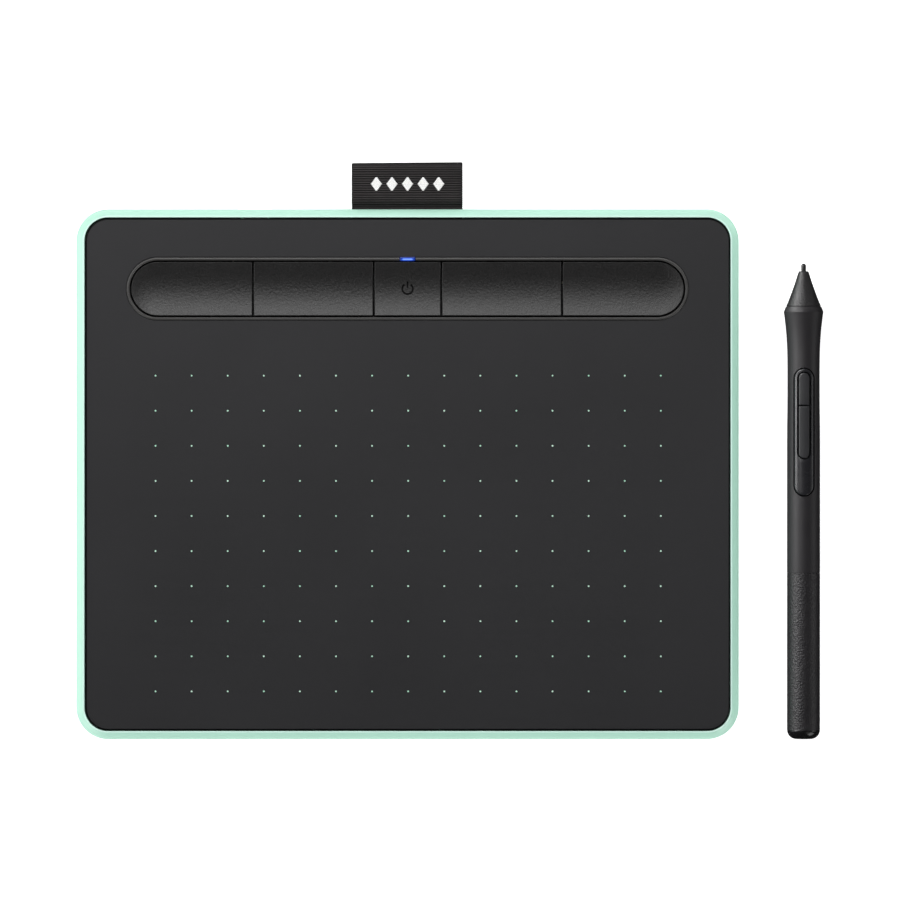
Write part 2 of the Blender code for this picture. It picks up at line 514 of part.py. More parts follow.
pen_button("pen_front_button", SWITCH_S0, SWITCH_SPLIT - 0.15, True)
pen_button("pen_rear_button", SWITCH_SPLIT + 0.15, SWITCH_S1, False)
block("pen_front_switch", (0.0, -2.4, -38.0), (2.6, 0.7, 3.2), PEN, CHIP)
block("pen_rear_switch", (0.0, -2.4, -51.0), (2.6, 0.7, 3.2), PEN, CHIP)
block("pen_board", (0.0, -1.6, -60.6), (5.0, 0.7, 54.8), PEN, PCB)
turned("pen_coil", along([(1.62, 15.9), (3.5, 15.9), (3.5, 26.0), (1.62, 26.0)]), PEN, COPPER, steps=20)
rod("pen_pressure_sensor", 3.4, -32.4, -28.2, PEN, CHIP, n=20)
chassis = [(3.7 * math.cos(t), 3.7 * math.sin(t)) for t in (math.pi * (-0.98 + 0.96 * k / 12) for k in range(13))]
chassis = [(-3.55, 1.0)] + [(x, y) for x, y in chassis] + [(3.55, 1.0), (1.7, 1.0), (1.7, -1.4), (-1.7, -1.4), (-1.7, 1.0)]
slab("pen_chassis", [chassis], -92.5, -33.0, PEN, BLACK, matrix=Matrix(((1, 0, 0, 0), (0, -1, 0, 0), (0, 0, 1, 0), (0, 0, 0, 1))))
holes = [(2.05 * math.cos(t), 2.05 * math.sin(t)) for t in (math.pi * (0.5 + 2 * k / 3) for k in range(3))]
slab("nib_magazine", [circle(3.7, 20)] + [circle(0.96, 10, x, y) for x, y in holes], -118.0, -93.0, PEN, WHITE)
for i, (x, y) in enumerate(holes, 1):
    turned(f"spare_nib_{i}", [(0.0, -98.5), (0.5, -98.9), (NIB_R, -99.9), (NIB_R, -121.5), (0.0, -121.5)], PEN, NIB, steps=8, at=(x, y, 0.0))
REAR = [(PEN_BODY_R, REAR_S + 0.1), (PEN_BODY_R, 140.4)]
turned("rear_barrel", along([(4.66, REAR_S + 0.1)] + REAR + [(4.3, 140.4), (4.3, REAR_S + 7.0), (4.66, REAR_S + 7.0)]), PEN, PEN_SOFT)
END_R = 2.75
end_arc = [(PEN_BODY_R - 0.02 - END_R + END_R * math.cos(t), PEN_LENGTH - END_R + END_R * math.sin(t)) for t in (math.pi / 2 * k / 6 for k in range(7))]
turned("end_cap", along([(0.0, 136.5), (4.0, 136.5), (4.0, 140.55), (PEN_BODY_R - 0.02, 140.55)] + end_arc + [(0.0, PEN_LENGTH)]), PEN, PEN_HARD)
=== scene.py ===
"""Looks for the pen drawing tablet: a pale green tub with a black panel, a dished key row, a woven pen loop and a cordless pen.

Lengths below are in millimetres. T() takes points from the tablet's own centre on the desk, and P() takes points on the pen:
x to its right, s back from its tip along its axis, and h up from its axis.
"""

import json
import math

import bmesh
import bpy
from mathutils import Matrix, Vector
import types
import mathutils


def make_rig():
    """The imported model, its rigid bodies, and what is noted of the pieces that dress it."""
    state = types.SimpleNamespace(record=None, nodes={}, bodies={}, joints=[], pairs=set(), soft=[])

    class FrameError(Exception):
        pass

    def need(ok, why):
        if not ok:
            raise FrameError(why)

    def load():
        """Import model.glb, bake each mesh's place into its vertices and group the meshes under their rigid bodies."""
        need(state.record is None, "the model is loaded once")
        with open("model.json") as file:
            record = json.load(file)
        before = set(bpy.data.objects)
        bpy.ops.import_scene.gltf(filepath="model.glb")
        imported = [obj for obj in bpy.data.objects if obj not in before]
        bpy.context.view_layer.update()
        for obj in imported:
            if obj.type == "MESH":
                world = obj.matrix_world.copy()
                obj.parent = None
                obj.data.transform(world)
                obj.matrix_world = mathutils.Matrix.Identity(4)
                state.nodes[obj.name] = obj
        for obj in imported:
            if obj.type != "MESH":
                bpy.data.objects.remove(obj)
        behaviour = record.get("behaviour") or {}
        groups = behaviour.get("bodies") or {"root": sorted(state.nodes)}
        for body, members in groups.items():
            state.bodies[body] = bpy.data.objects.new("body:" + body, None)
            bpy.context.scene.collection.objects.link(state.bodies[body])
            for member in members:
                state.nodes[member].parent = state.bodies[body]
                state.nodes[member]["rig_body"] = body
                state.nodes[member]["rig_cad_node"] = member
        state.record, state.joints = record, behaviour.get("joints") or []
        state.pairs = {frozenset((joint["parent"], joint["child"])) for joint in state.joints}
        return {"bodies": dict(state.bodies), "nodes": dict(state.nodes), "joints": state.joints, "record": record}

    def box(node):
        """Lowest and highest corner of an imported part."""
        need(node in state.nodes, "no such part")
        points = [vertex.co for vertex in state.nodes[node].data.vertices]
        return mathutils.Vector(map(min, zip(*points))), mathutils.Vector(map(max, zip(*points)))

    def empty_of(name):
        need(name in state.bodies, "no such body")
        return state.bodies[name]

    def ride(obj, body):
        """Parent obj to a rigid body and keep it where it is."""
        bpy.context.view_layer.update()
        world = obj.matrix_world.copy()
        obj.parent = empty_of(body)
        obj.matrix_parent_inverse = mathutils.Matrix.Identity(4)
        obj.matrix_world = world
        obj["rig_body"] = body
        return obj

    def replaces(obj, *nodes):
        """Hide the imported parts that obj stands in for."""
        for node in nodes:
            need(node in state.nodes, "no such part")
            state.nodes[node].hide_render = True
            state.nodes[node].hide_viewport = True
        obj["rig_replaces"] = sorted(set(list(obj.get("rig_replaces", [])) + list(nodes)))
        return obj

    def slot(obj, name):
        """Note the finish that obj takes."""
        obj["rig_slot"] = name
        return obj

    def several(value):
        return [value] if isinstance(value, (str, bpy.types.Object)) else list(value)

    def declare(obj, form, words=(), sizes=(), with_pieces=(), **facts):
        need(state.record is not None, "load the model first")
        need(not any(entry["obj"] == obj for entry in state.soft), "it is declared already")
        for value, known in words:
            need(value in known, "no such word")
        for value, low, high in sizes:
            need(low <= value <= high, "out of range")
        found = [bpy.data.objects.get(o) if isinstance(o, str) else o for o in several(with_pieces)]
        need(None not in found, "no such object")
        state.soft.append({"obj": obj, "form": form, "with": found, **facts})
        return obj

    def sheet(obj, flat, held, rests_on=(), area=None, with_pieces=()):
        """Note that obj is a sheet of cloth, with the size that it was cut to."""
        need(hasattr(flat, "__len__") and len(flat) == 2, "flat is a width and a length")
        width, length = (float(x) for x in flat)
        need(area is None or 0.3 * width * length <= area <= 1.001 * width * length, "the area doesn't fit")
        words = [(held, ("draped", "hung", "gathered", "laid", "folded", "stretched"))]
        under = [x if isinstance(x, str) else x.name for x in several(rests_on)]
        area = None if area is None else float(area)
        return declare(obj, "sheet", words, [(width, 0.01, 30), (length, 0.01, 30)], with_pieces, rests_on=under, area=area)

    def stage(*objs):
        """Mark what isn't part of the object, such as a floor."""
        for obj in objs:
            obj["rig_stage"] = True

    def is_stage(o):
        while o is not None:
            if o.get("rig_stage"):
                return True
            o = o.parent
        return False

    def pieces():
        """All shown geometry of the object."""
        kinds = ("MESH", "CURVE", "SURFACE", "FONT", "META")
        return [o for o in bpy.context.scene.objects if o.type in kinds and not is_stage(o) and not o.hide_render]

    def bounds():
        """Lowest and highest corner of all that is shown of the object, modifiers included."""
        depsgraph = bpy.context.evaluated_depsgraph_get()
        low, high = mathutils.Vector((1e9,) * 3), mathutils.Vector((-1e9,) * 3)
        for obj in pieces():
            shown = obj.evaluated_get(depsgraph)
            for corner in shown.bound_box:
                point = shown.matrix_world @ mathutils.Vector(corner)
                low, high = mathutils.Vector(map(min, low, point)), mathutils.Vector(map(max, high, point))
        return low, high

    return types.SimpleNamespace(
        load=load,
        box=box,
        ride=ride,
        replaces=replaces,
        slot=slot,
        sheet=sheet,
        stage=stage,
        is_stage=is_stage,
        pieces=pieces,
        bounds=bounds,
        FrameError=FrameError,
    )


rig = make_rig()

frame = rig.load()
cad_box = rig.bounds()
nodes = frame["nodes"]
MM = 0.001

# ------------------------------------------------------------------ places, read from the CAD
case_lo, case_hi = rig.box("bottom_case")
TX, TY = (case_lo.x + case_hi.x) / 2 / MM, (case_lo.y + case_hi.y) / 2 / MM
TABLET_W, TABLET_D = (case_hi.x - case_lo.x) / MM, (case_hi.y - case_lo.y) / MM
LIP_Z, CASE_Z0 = case_hi.z / MM, case_lo.z / MM
TABLET_R, LIP_INSET, COVER_GAP = 9.6, 2.5, 0.35
SHEET_Z0, SHEET_Z1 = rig.box("surface_sheet")[0].z / MM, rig.box("surface_sheet")[1].z / MM
COVER_Z0, COVER_Z1 = 6.85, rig.box("top_cover")[1].z / MM
POD_Y, POD_W, POD_D, POD_IN_W, POD_IN_D = 55.94, 169.8, 19.2, 167.7, 17.1
KEYS_W, KEYS_D, KEY_GAP = 166.7, 16.15, 0.54
KEY_SPLITS = (-46.65, -10.2, 10.2, 46.65)
KEY_EDGE_Z, KEY_DISH_Z, KEY_BASE_Z = 8.5, 6.9, 5.0
FEET = ("rear_left", "rear_right", "front_left", "front_right")
FOOT_W, FOOT_D = 26.0, 9.0
SCREWS = ((-87.5, 66.5), (87.5, 66.5), (-87.5, -66.5), (87.5, -66.5), (-89.0, 0.0), (89.0, 0.0))
USB_X, USB_Z = -46.0, 4.35
LOOP_W, LOOP_X, LOOP_REACH, LOOP_T, LOOP_Z, LOOP_H = 33.4, -0.13, 14.15, 0.9, 4.6, 6.6
GRID_X, GRID_Y, GRID_DX, GRID_DY = 0.2, -17.9, 10.89, 10.585

nib_lo, nib_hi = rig.box("nib")
PEN_AXIS = next(Vector(j["axis"]) for j in frame["joints"] if j["name"] == "nib_press").normalized()   # from the tip to the rear
PEN_FLARE_S, PEN_FLARE_R, PEN_BODY_R, PEN_LENGTH = 14.7, 5.97, 4.98, 143.57
PEN_TILT = math.asin(-PEN_AXIS.z)
PEN_TIP = Vector(((nib_lo.x + nib_hi.x) / 2 / MM, nib_hi.y / MM, PEN_FLARE_R * math.cos(PEN_TILT) + PEN_FLARE_S * math.sin(PEN_TILT)))
PEN_UP = Vector((0, PEN_AXIS.z, -PEN_AXIS.y))
NOSE_S, REAR_S = 12.85, 93.4
PLATE_S0, PLATE_S1, PLATE_W = 31.5, 70.3, 6.4
SWITCH_S0, SWITCH_S1, SWITCH_W, SWITCH_SPLIT = 33.0, 58.8, 3.4, 42.9

LOOKS = bpy.data.collections.new("looks")
bpy.context.scene.collection.children.link(LOOKS)
HELPERS = bpy.data.collections.new("helpers")
bpy.context.scene.collection.children.link(HELPERS)


def T(x, y, z):
    return Vector(((TX + x) * MM, (TY + y) * MM, z * MM))


def P(x, s, h):
    return (PEN_TIP + Vector((x, 0, 0)) + PEN_AXIS * s + PEN_UP * h) * MM


# ------------------------------------------------------------------ materials
class Nodes:
    """A short way to write a material's nodes."""

    def __init__(self, name, **sockets):
        self.material = bpy.data.materials.new(name)
        self.material.use_nodes = True
        self.tree = self.material.node_tree
        self.shader = self.tree.nodes["Principled BSDF"]
        self.put(**sockets)
        self.coords = self.new("ShaderNodeTexCoord").outputs["Object"]

    def new(self, kind, **settings):
        node = self.tree.nodes.new(kind)
        for key, value in settings.items():
            setattr(node, key, value)
        return node

    def put(self, **sockets):
        for key, value in sockets.items():
            socket = self.shader.inputs[key.replace("_", " ")]
            if hasattr(value, "is_output"):
                self.tree.links.new(value, socket)
            else:
                socket.default_value = value

    def link(self, value, socket):
        if hasattr(value, "is_output"):
            self.tree.links.new(value, socket)
        else:
            socket.default_value = value

    def scaled(self, x, y, z, source=None):
        """Object coordinates times these, so that 1000 gives millimetres."""
        node = self.new("ShaderNodeMapping")
        self.link(source or self.coords, node.inputs["Vector"])
        node.inputs["Scale"].default_value = (x, y, z)
        return node.outputs["Vector"]

    def noise(self, size, detail=2.0, rough=0.5, stretch=(1, 1, 1), distortion=0.0):
        """Noise whose lumps are about this many millimetres across."""
        node = self.new("ShaderNodeTexNoise")
        k = 1000.0 / size
        self.link(self.scaled(k / stretch[0], k / stretch[1], k / stretch[2]), node.inputs["Vector"])
        node.inputs["Scale"].default_value = 1.0
        node.inputs["Detail"].default_value = detail
        node.inputs["Roughness"].default_value = rough
        node.inputs["Distortion"].default_value = distortion
        return node.outputs["Fac"]

    def cells(self, size, feature="F1", out="Distance", stretch=(1, 1, 1)):
        node = self.new("ShaderNodeTexVoronoi", feature=feature)
        k = 1000.0 / size
        self.link(self.scaled(k / stretch[0], k / stretch[1], k / stretch[2]), node.inputs["Vector"])
        node.inputs["Scale"].default_value = 1.0
        return node.outputs[out]

    def waves(self, pitch, axis, shift=0.0):
        """0 to 1 along an axis, with this pitch in millimetres."""
        node = self.new("ShaderNodeTexWave", wave_type="BANDS", bands_direction=axis, wave_profile="SIN")
        k = 1000.0 * 2 * math.pi / 20 / pitch
        self.link(self.scaled(k, k, k), node.inputs["Vector"])
        node.inputs["Scale"].default_value = 1.0
        node.inputs["Phase Offset"].default_value = shift
        return node.outputs["Fac"]

    def math(self, operation, a, b=0.0, clamp=False):
        node = self.new("ShaderNodeMath", operation=operation, use_clamp=clamp)
        self.link(a, node.inputs[0])
        self.link(b, node.inputs[1])
        return node.outputs[0]

    def spread(self, value, low, high, a=0.0, b=1.0):
        """Takes a to b in value onto low to high."""
        node = self.new("ShaderNodeMapRange")
        self.link(value, node.inputs["Value"])
        for key, number in (("From Min", a), ("From Max", b), ("To Min", low), ("To Max", high)):
            node.inputs[key].default_value = number
        return node.outputs["Result"]

    def ramp(self, value, *stops):
        node = self.new("ShaderNodeValToRGB")
        self.link(value, node.inputs["Fac"])
        elements = node.color_ramp.elements
        while len(elements) < len(stops):
            elements.new(0.5)
        for element, (at, colour) in zip(elements, stops):
            element.position = at
            element.color = (*colour, 1.0)
        return node.outputs["Color"]

    def mix(self, factor, a, b, blend="MIX"):
        node = self.new("ShaderNodeMix", data_type="RGBA", blend_type=blend)
        self.link(factor, node.inputs[0])
        for value, socket in ((a, node.inputs[6]), (b, node.inputs[7])):
            self.link(value if hasattr(value, "is_output") else (*value, 1.0), socket)
        return node.outputs[2]

    def bump(self, height, depth, strength=1.0, onto=None):
        """depth is in millimetres."""
        node = self.new("ShaderNodeBump")
        self.link(height, node.inputs["Height"])
        node.inputs["Strength"].default_value = strength
        node.inputs["Distance"].default_value = depth * MM
        if onto is not None:
            self.link(onto, node.inputs["Normal"])
        return node.outputs["Normal"]

    def place(self, axis):
        node = self.new("ShaderNodeSeparateXYZ")
        self.link(self.coords, node.inputs[0])
        return node.outputs[axis]


def tinted(rgb, factor):
    return tuple(min(1.0, c * factor) for c in rgb)


def moulded(name, rgb, roughness, grain=0.25, depth=0.012, variation=0.06, specular=0.5, rough_spread=0.06, coarse=9.0, coat=0.0):
    """Moulded plastic: an eroded grain, a slow change of tone, and a roughness that isn't quite even."""
    m = Nodes(name, Specular_IOR_Level=specular)
    slow = m.noise(coarse, 3.0, 0.55)
    fine = m.noise(grain, 3.0, 0.6)
    m.put(Base_Color=m.ramp(m.math("ADD", m.math("MULTIPLY", slow, 0.7), m.math("MULTIPLY", fine, 0.3)),
                            (0.3, tinted(rgb, 1 - variation)), (0.7, tinted(rgb, 1 + variation))))
    m.put(Roughness=m.spread(m.math("ADD", m.math("MULTIPLY", m.noise(coarse * 0.6, 4.0, 0.6), 0.6), m.math("MULTIPLY", fine, 0.4)),
                             roughness - rough_spread, roughness + rough_spread, 0.3, 0.7))
    pits = m.cells(grain * 1.3)
    m.put(Normal=m.bump(m.math("ADD", fine, m.math("MULTIPLY", pits, 0.5)), depth))
    if coat:
        m.put(Coat_Weight=coat, Coat_Roughness=0.15)
    return m


GREEN_RGB = (0.44, 0.735, 0.6)
# Black plastic, coloured darker and more matt than the other black parts as a painted shade for the gap round the
# drawing film.
COVER = moulded("cover_plastic", (0.004, 0.004, 0.0042), 0.8, grain=0.3, depth=0.01, specular=0.15).material
BLACK = moulded("black_plastic", (0.02, 0.02, 0.021), 0.5, grain=0.2, depth=0.006, specular=0.5).material
BEZEL = moulded("bezel_plastic", (0.033, 0.032, 0.031), 0.4, grain=0.16, depth=0.003, specular=0.55).material
PLATE = moulded("pen_plate_plastic", (0.014, 0.014, 0.016), 0.26, grain=0.2, depth=0.004, specular=0.5).material
BUTTON = moulded("pen_button_plastic", (0.02, 0.02, 0.022), 0.4, grain=0.2, depth=0.005, specular=0.5).material
NOSE = moulded("pen_nose_plastic", (0.0135, 0.0128, 0.0135), 0.42, grain=0.5, depth=0.12, specular=0.42, variation=0.2).material
GRIP = moulded("pen_grip_plastic", (0.0158, 0.0145, 0.0162), 0.46, grain=0.3, depth=0.003, specular=0.38).material
REAR = moulded("pen_rear_plastic", (0.0135, 0.0125, 0.014), 0.38, grain=0.5, depth=0.12, specular=0.45, variation=0.16).material
CAP = moulded("pen_cap_plastic", (0.007, 0.007, 0.0075), 0.2, grain=0.6, depth=0.002, specular=0.5, rough_spread=0.04).material
NIB = moulded("nib_plastic", (0.01, 0.01, 0.01), 0.3, grain=0.15, depth=0.002, specular=0.5).material
RUBBER = moulded("foot_rubber", (0.045, 0.048, 0.048), 0.82, grain=0.3, depth=0.03, specular=0.25, variation=0.12).material
CHIP = moulded("chip_resin", (0.018, 0.018, 0.02), 0.5, grain=0.2, depth=0.01).material
WHITE = moulded("nylon_white", (0.78, 0.78, 0.74), 0.5, grain=0.4, depth=0.006, variation=0.03).material
LEAD = moulded("lead_jacket", (0.38, 0.02, 0.02), 0.45, grain=0.6, depth=0.01).material


def case_material():
    """The tub's pale green plastic. Its narrow lip is coloured a little lighter than the slope beside it, a painted
    highlight, and its inner walls and floor are coloured near black, a painted shade.
    """
    m = Nodes("green_plastic", Specular_IOR_Level=0.45)
    slow, fine = m.noise(24.0, 3.0, 0.55), m.noise(0.22, 3.0, 0.6)
    tone = m.ramp(m.math("ADD", m.math("MULTIPLY", slow, 0.7), m.math("MULTIPLY", fine, 0.3)), (0.3, tinted(GREEN_RGB, 0.98)), (0.7, tinted(GREEN_RGB, 1.02)))
    # Painted highlight: the lip's flat top is coloured lighter than the slope beside it.
    lip = m.spread(m.place("Z"), 0.0, 1.0, (LIP_Z - 0.16) * MM, (LIP_Z - 0.04) * MM)
    outer = m.mix(lip, tone, (0.6, 0.86, 0.755))
    # Painted shade: the tub's inner walls and floor are coloured near black, standing in for the shade within the tub.
    within = [m.math("LESS_THAN", m.math("ABSOLUTE", m.math("SUBTRACT", m.place(axis), middle * MM)), (size / 2 - 5.2) * MM)
              for axis, middle, size in (("X", TX, TABLET_W), ("Y", TY, TABLET_D))]
    painted_shade_within = m.math("MULTIPLY", m.math("MULTIPLY", *within), m.math("GREATER_THAN", m.place("Z"), 1.8 * MM))
    m.put(Base_Color=m.mix(painted_shade_within, outer, (0.02, 0.021, 0.021)))
    m.put(Roughness=m.spread(m.math("ADD", m.math("MULTIPLY", m.noise(14.0, 4.0, 0.6), 0.6), m.math("MULTIPLY", fine, 0.4)), 0.36, 0.48, 0.3, 0.7))
    m.put(Normal=m.bump(m.math("ADD", fine, m.math("MULTIPLY", m.cells(0.29), 0.5)), 0.004))
    return m.material


def keys_material():
    """The keys' spark-eroded grain: dark, with fine bright specks on the grain's tops that are partly the grain's own
    tone and partly a painted highlight for the light they catch. Below the dish, in the power symbol's groove, the
    colour is a painted shade, near black.
    """
    m = Nodes("key_plastic", Specular_IOR_Level=0.5)
    fine, finer = m.noise(0.42, 4.0, 0.62), m.noise(0.17, 2.0, 0.5)
    both = m.math("ADD", m.math("MULTIPLY", fine, 0.6), m.math("MULTIPLY", finer, 0.4))
    # Partly painted highlight: the noise that raises the grain also lightens its colour, so the grain's tops are
    # coloured brighter.
    top = m.ramp(both, (0.34, (0.002, 0.0019, 0.0019)), (0.66, (0.0142, 0.0136, 0.0136)))
    # Painted shade: below the dish, in the power symbol's groove and down the key walls, the colour is near black.
    m.put(Base_Color=m.mix(m.math("LESS_THAN", m.place("Z"), (KEY_DISH_Z - 0.2) * MM), top, (0.0006, 0.0006, 0.0006)))
    m.put(Roughness=m.mix(m.math("LESS_THAN", m.place("Z"), (KEY_DISH_Z - 0.2) * MM), m.spread(fine, 0.36, 0.46, 0.3, 0.7), (0.95, 0.95, 0.95)))
    pebbles = m.bump(m.noise(0.75, 1.5, 0.5), 0.085)
    m.put(Normal=m.bump(both, 0.075, onto=pebbles))
    return m.material


def sheet_material():
    """Matt drawing film: a very fine tooth, faint long polishing streaks and slightly smoother patches where hands rest."""
    m = Nodes("drawing_sheet", Specular_IOR_Level=0.33)
    tooth = m.noise(0.13, 2.0, 0.6)
    slow = m.noise(55.0, 3.0, 0.5)
    m.put(Base_Color=m.ramp(slow, (0.3, (0.0148, 0.0146, 0.016)), (0.7, (0.0164, 0.0162, 0.0178))))
    streaks = m.noise(1.2, 3.0, 0.6, stretch=(30, 1, 1))
    m.put(Roughness=m.spread(m.math("ADD", m.math("MULTIPLY", slow, 0.5), m.math("MULTIPLY", streaks, 0.5)), 0.46, 0.54, 0.3, 0.7))
    m.put(Normal=m.bump(tooth, 0.006))
    return m.material


def ribbon_material(pitch, crest):
    """Grosgrain: warp threads wrapped over thick crosswise ribs, with the slight fuzz of the yarn. Its colour is
    painted darker in the grooves between the ribs and lighter on their crests, and darker along both edges and over the
    turn at the tip: painted shade and highlight.
    """
    m = Nodes("woven_ribbon", Specular_IOR_Level=0.25, Sheen_Weight=0.12, Sheen_Roughness=0.45, Sheen_Tint=(0.9, 0.85, 0.83, 1.0))
    threads = m.waves(0.24, "X")
    fuzz = m.noise(0.12, 3.0, 0.6, stretch=(1, 3, 3))
    cloud = m.noise(3.5, 3.0, 0.55)
    mixed = m.math("ADD", m.math("MULTIPLY", threads, 0.35), m.math("ADD", m.math("MULTIPLY", fuzz, 0.4), m.math("MULTIPLY", cloud, 0.25)))
    yarn = m.ramp(mixed, (0.25, (0.009, 0.0078, 0.008)), (0.75, (0.03, 0.027, 0.0275)))
    across = m.math("ABSOLUTE", m.math("SUBTRACT", m.place("X"), (TX + LOOP_X) * MM))
    # Painted shade: the colour darkens along both edges of the ribbon.
    edge_shade = m.spread(across, 1.0, 0.22, (LOOP_W / 2 - 0.55) * MM, (LOOP_W / 2 - 0.25) * MM)
    # Painted shade: the colour darkens over the turn at the loop's tip.
    tip_turn_shade = m.spread(m.place("Y"), 1.0, 0.22, (TY + TABLET_D / 2 + LOOP_REACH - 0.75) * MM, (TY + TABLET_D / 2 + LOOP_REACH - 0.35) * MM)
    # Painted shade and highlight: the colour is darker in the grooves between the ribs and lighter on their crests.
    rib_shade = m.spread(m.waves(pitch, "Y", math.pi - 2 * math.pi * (TY + crest) / pitch), -0.15, 2.15)
    shade = m.new("ShaderNodeCombineXYZ")
    for channel in "XYZ":
        m.link(m.math("MULTIPLY", m.math("MULTIPLY", edge_shade, tip_turn_shade), rib_shade), shade.inputs[channel])
    m.put(Base_Color=m.mix(1.0, yarn, shade.outputs["Vector"], "MULTIPLY"))
    m.put(Roughness=m.spread(fuzz, 0.72, 0.92, 0.3, 0.7))
    m.put(Normal=m.bump(m.math("ADD", threads, m.math("MULTIPLY", fuzz, 0.8)), 0.05))
    return m.material


def thread_material():
    m = Nodes("ornament_thread", Specular_IOR_Level=0.3, Sheen_Weight=0.3, Sheen_Roughness=0.4)
    twist = m.noise(0.16, 2.0, 0.5, stretch=(1.2, 3, 3))
    m.put(Base_Color=m.ramp(twist, (0.3, (0.86, 0.86, 0.85)), (0.7, (0.97, 0.97, 0.96))))
    m.put(Roughness=m.spread(twist, 0.6, 0.8))
    m.put(Normal=m.bump(twist, 0.05))
    return m.material


def steel_material(name, rgb, low, high, stretch=(40, 1, 1), metallic=1.0):
    m = Nodes(name, Metallic=metallic)
    lines = m.noise(0.35, 4.0, 0.65, stretch=stretch)
    m.put(Base_Color=m.ramp(m.noise(5.0, 3.0, 0.6), (0.3, tinted(rgb, 0.88)), (0.7, tinted(rgb, 1.08))))
    m.put(Roughness=m.spread(lines, low, high, 0.3, 0.7))
    m.put(Normal=m.bump(lines, 0.004))
    return m.material


def board_material():
    """Black solder mask over etched tracks, with tinned pads."""
    m = Nodes("circuit_board", Specular_IOR_Level=0.5)
    tracks = m.new("ShaderNodeTexBrick", offset=0.5, squash=1.0)
    m.link(m.scaled(1000, 1000, 1000), tracks.inputs["Vector"])
    tracks.inputs["Scale"].default_value = 0.22
    tracks.inputs["Mortar Size"].default_value = 0.045
    tracks.inputs["Color1"].default_value = tracks.inputs["Color2"].default_value = (0.006, 0.0065, 0.0065, 1)
    tracks.inputs["Mortar"].default_value = (0.02, 0.022, 0.022, 1)
    pads = m.cells(3.1)
    m.put(Base_Color=m.mix(m.math("LESS_THAN", pads, 0.13), tracks.outputs["Color"], (0.62, 0.6, 0.52)))
    m.put(Roughness=m.spread(m.noise(1.0, 3.0), 0.25, 0.42))
    m.put(Normal=m.bump(tracks.outputs["Fac"], 0.03))
    return m.material


def foil_material():
    m = Nodes("battery_foil", Metallic=0.85)
    creases = m.noise(6.0, 5.0, 0.6, distortion=1.5)
    m.put(Base_Color=m.ramp(creases, (0.3, (0.5, 0.51, 0.53)), (0.7, (0.72, 0.73, 0.75))))
    m.put(Roughness=m.spread(creases, 0.24, 0.42, 0.3, 0.7))
    m.put(Normal=m.bump(creases, 0.25))
    return m.material


def copper_material():
    m = Nodes("copper_winding", Metallic=1.0)
    turns = m.waves(0.16, "Y")
    m.put(Base_Color=m.ramp(turns, (0.2, (0.32, 0.1, 0.035)), (0.8, (0.86, 0.42, 0.2))))
    m.put(Roughness=m.spread(m.noise(0.8, 3.0), 0.25, 0.42))
    m.put(Normal=m.bump(turns, 0.06))
    return m.material


def film_material():
    m = Nodes("flex_film", Specular_IOR_Level=0.5)
    tracks = m.waves(0.8, "X")
    m.put(Base_Color=m.ramp(tracks, (0.35, (0.36, 0.13, 0.02)), (0.65, (0.66, 0.32, 0.07))))
    m.put(Roughness=m.spread(m.noise(1.5, 3.0), 0.25, 0.4))
    m.put(Normal=m.bump(tracks, 0.02))
    return m.material


def mark_material():
    """The grid's printed marks, a pale green ink that varies a little from mark to mark."""
    m = Nodes("grid_ink", Specular_IOR_Level=0.3)
    m.put(Base_Color=m.ramp(m.noise(14.0, 2.0), (0.35, (0.34, 0.62, 0.47)), (0.65, (0.52, 0.72, 0.6))))
    m.put(Roughness=m.spread(m.noise(0.2, 2.0), 0.5, 0.7))
    return m.material


def light_material():
    """A clear window over a blue lamp: brightest in its middle, and deep blue at its ends."""
    m = Nodes("light_window", Roughness=0.22)
    window = (T(0, 0, 0).x, T(0, LIGHT_Y - 0.12, 0).y)
    dx = m.math("ABSOLUTE", m.math("SUBTRACT", m.place("X"), window[0]))
    dy = m.math("ABSOLUTE", m.math("SUBTRACT", m.place("Y"), window[1]))
    glow = m.math("MULTIPLY", m.spread(dx, 1.0, 0.0, 0.0012, 0.0023), m.spread(dy, 1.0, 0.0, 0.00006, 0.00056), clamp=True)
    m.put(Base_Color=m.ramp(glow, (0.0, (0.0, 0.006, 0.07)), (1.0, (0.05, 0.12, 0.5))))
    m.put(Emission_Color=m.ramp(glow, (0.0, (0.0, 0.008, 0.09)), (0.5, (0.004, 0.035, 0.34)), (1.0, (0.21, 0.35, 0.94))))
    m.put(Emission_Strength=1.0)
    return m.material


# ------------------------------------------------------------------ mesh building
def rounded(w, d, r, n=16, cx=0.0, cy=0.0):
    """A rectangle with round corners, or a pill when r is half its width, counter-clockwise."""
    points = []
    for sx, sy, start in ((1, 1, 0.0), (-1, 1, 0.5), (-1, -1, 1.0), (1, -1, 1.5)):
        mx, my = cx + sx * (w / 2 - r), cy + sy * (d / 2 - r)
        for k in range(n + 1):
            a = math.pi * (start + 0.5 * k / n)
            p = (mx + r * math.cos(a), my + r * math.sin(a))
            if not points or math.dist(p, points[-1]) > 1e-5:
                points.append(p)
    if math.dist(points[0], points[-1]) < 1e-5:
        points.pop()
    return points


def filleted(points, radii, n=5):
    """An open outline with each corner rounded to its radius."""
    out = [points[0]]
    for before, at, after, r in zip(points, points[1:], points[2:], radii):
        a, b = Vector(before) - Vector(at), Vector(after) - Vector(at)
        if r <= 0 or a.length < 1e-9 or b.length < 1e-9:
            out.append(at)
            continue
        angle = a.angle(b)
        back = min(r / math.tan(angle / 2), 0.49 * a.length, 0.49 * b.length)
        start, end = Vector(at) + a.normalized() * back, Vector(at) + b.normalized() * back
        for k in range(n + 1):
            t = k / n
            out.append(tuple(start * (1 - t) ** 2 + Vector(at) * 2 * t * (1 - t) + end * t ** 2))
    out.append(points[-1])
    return out


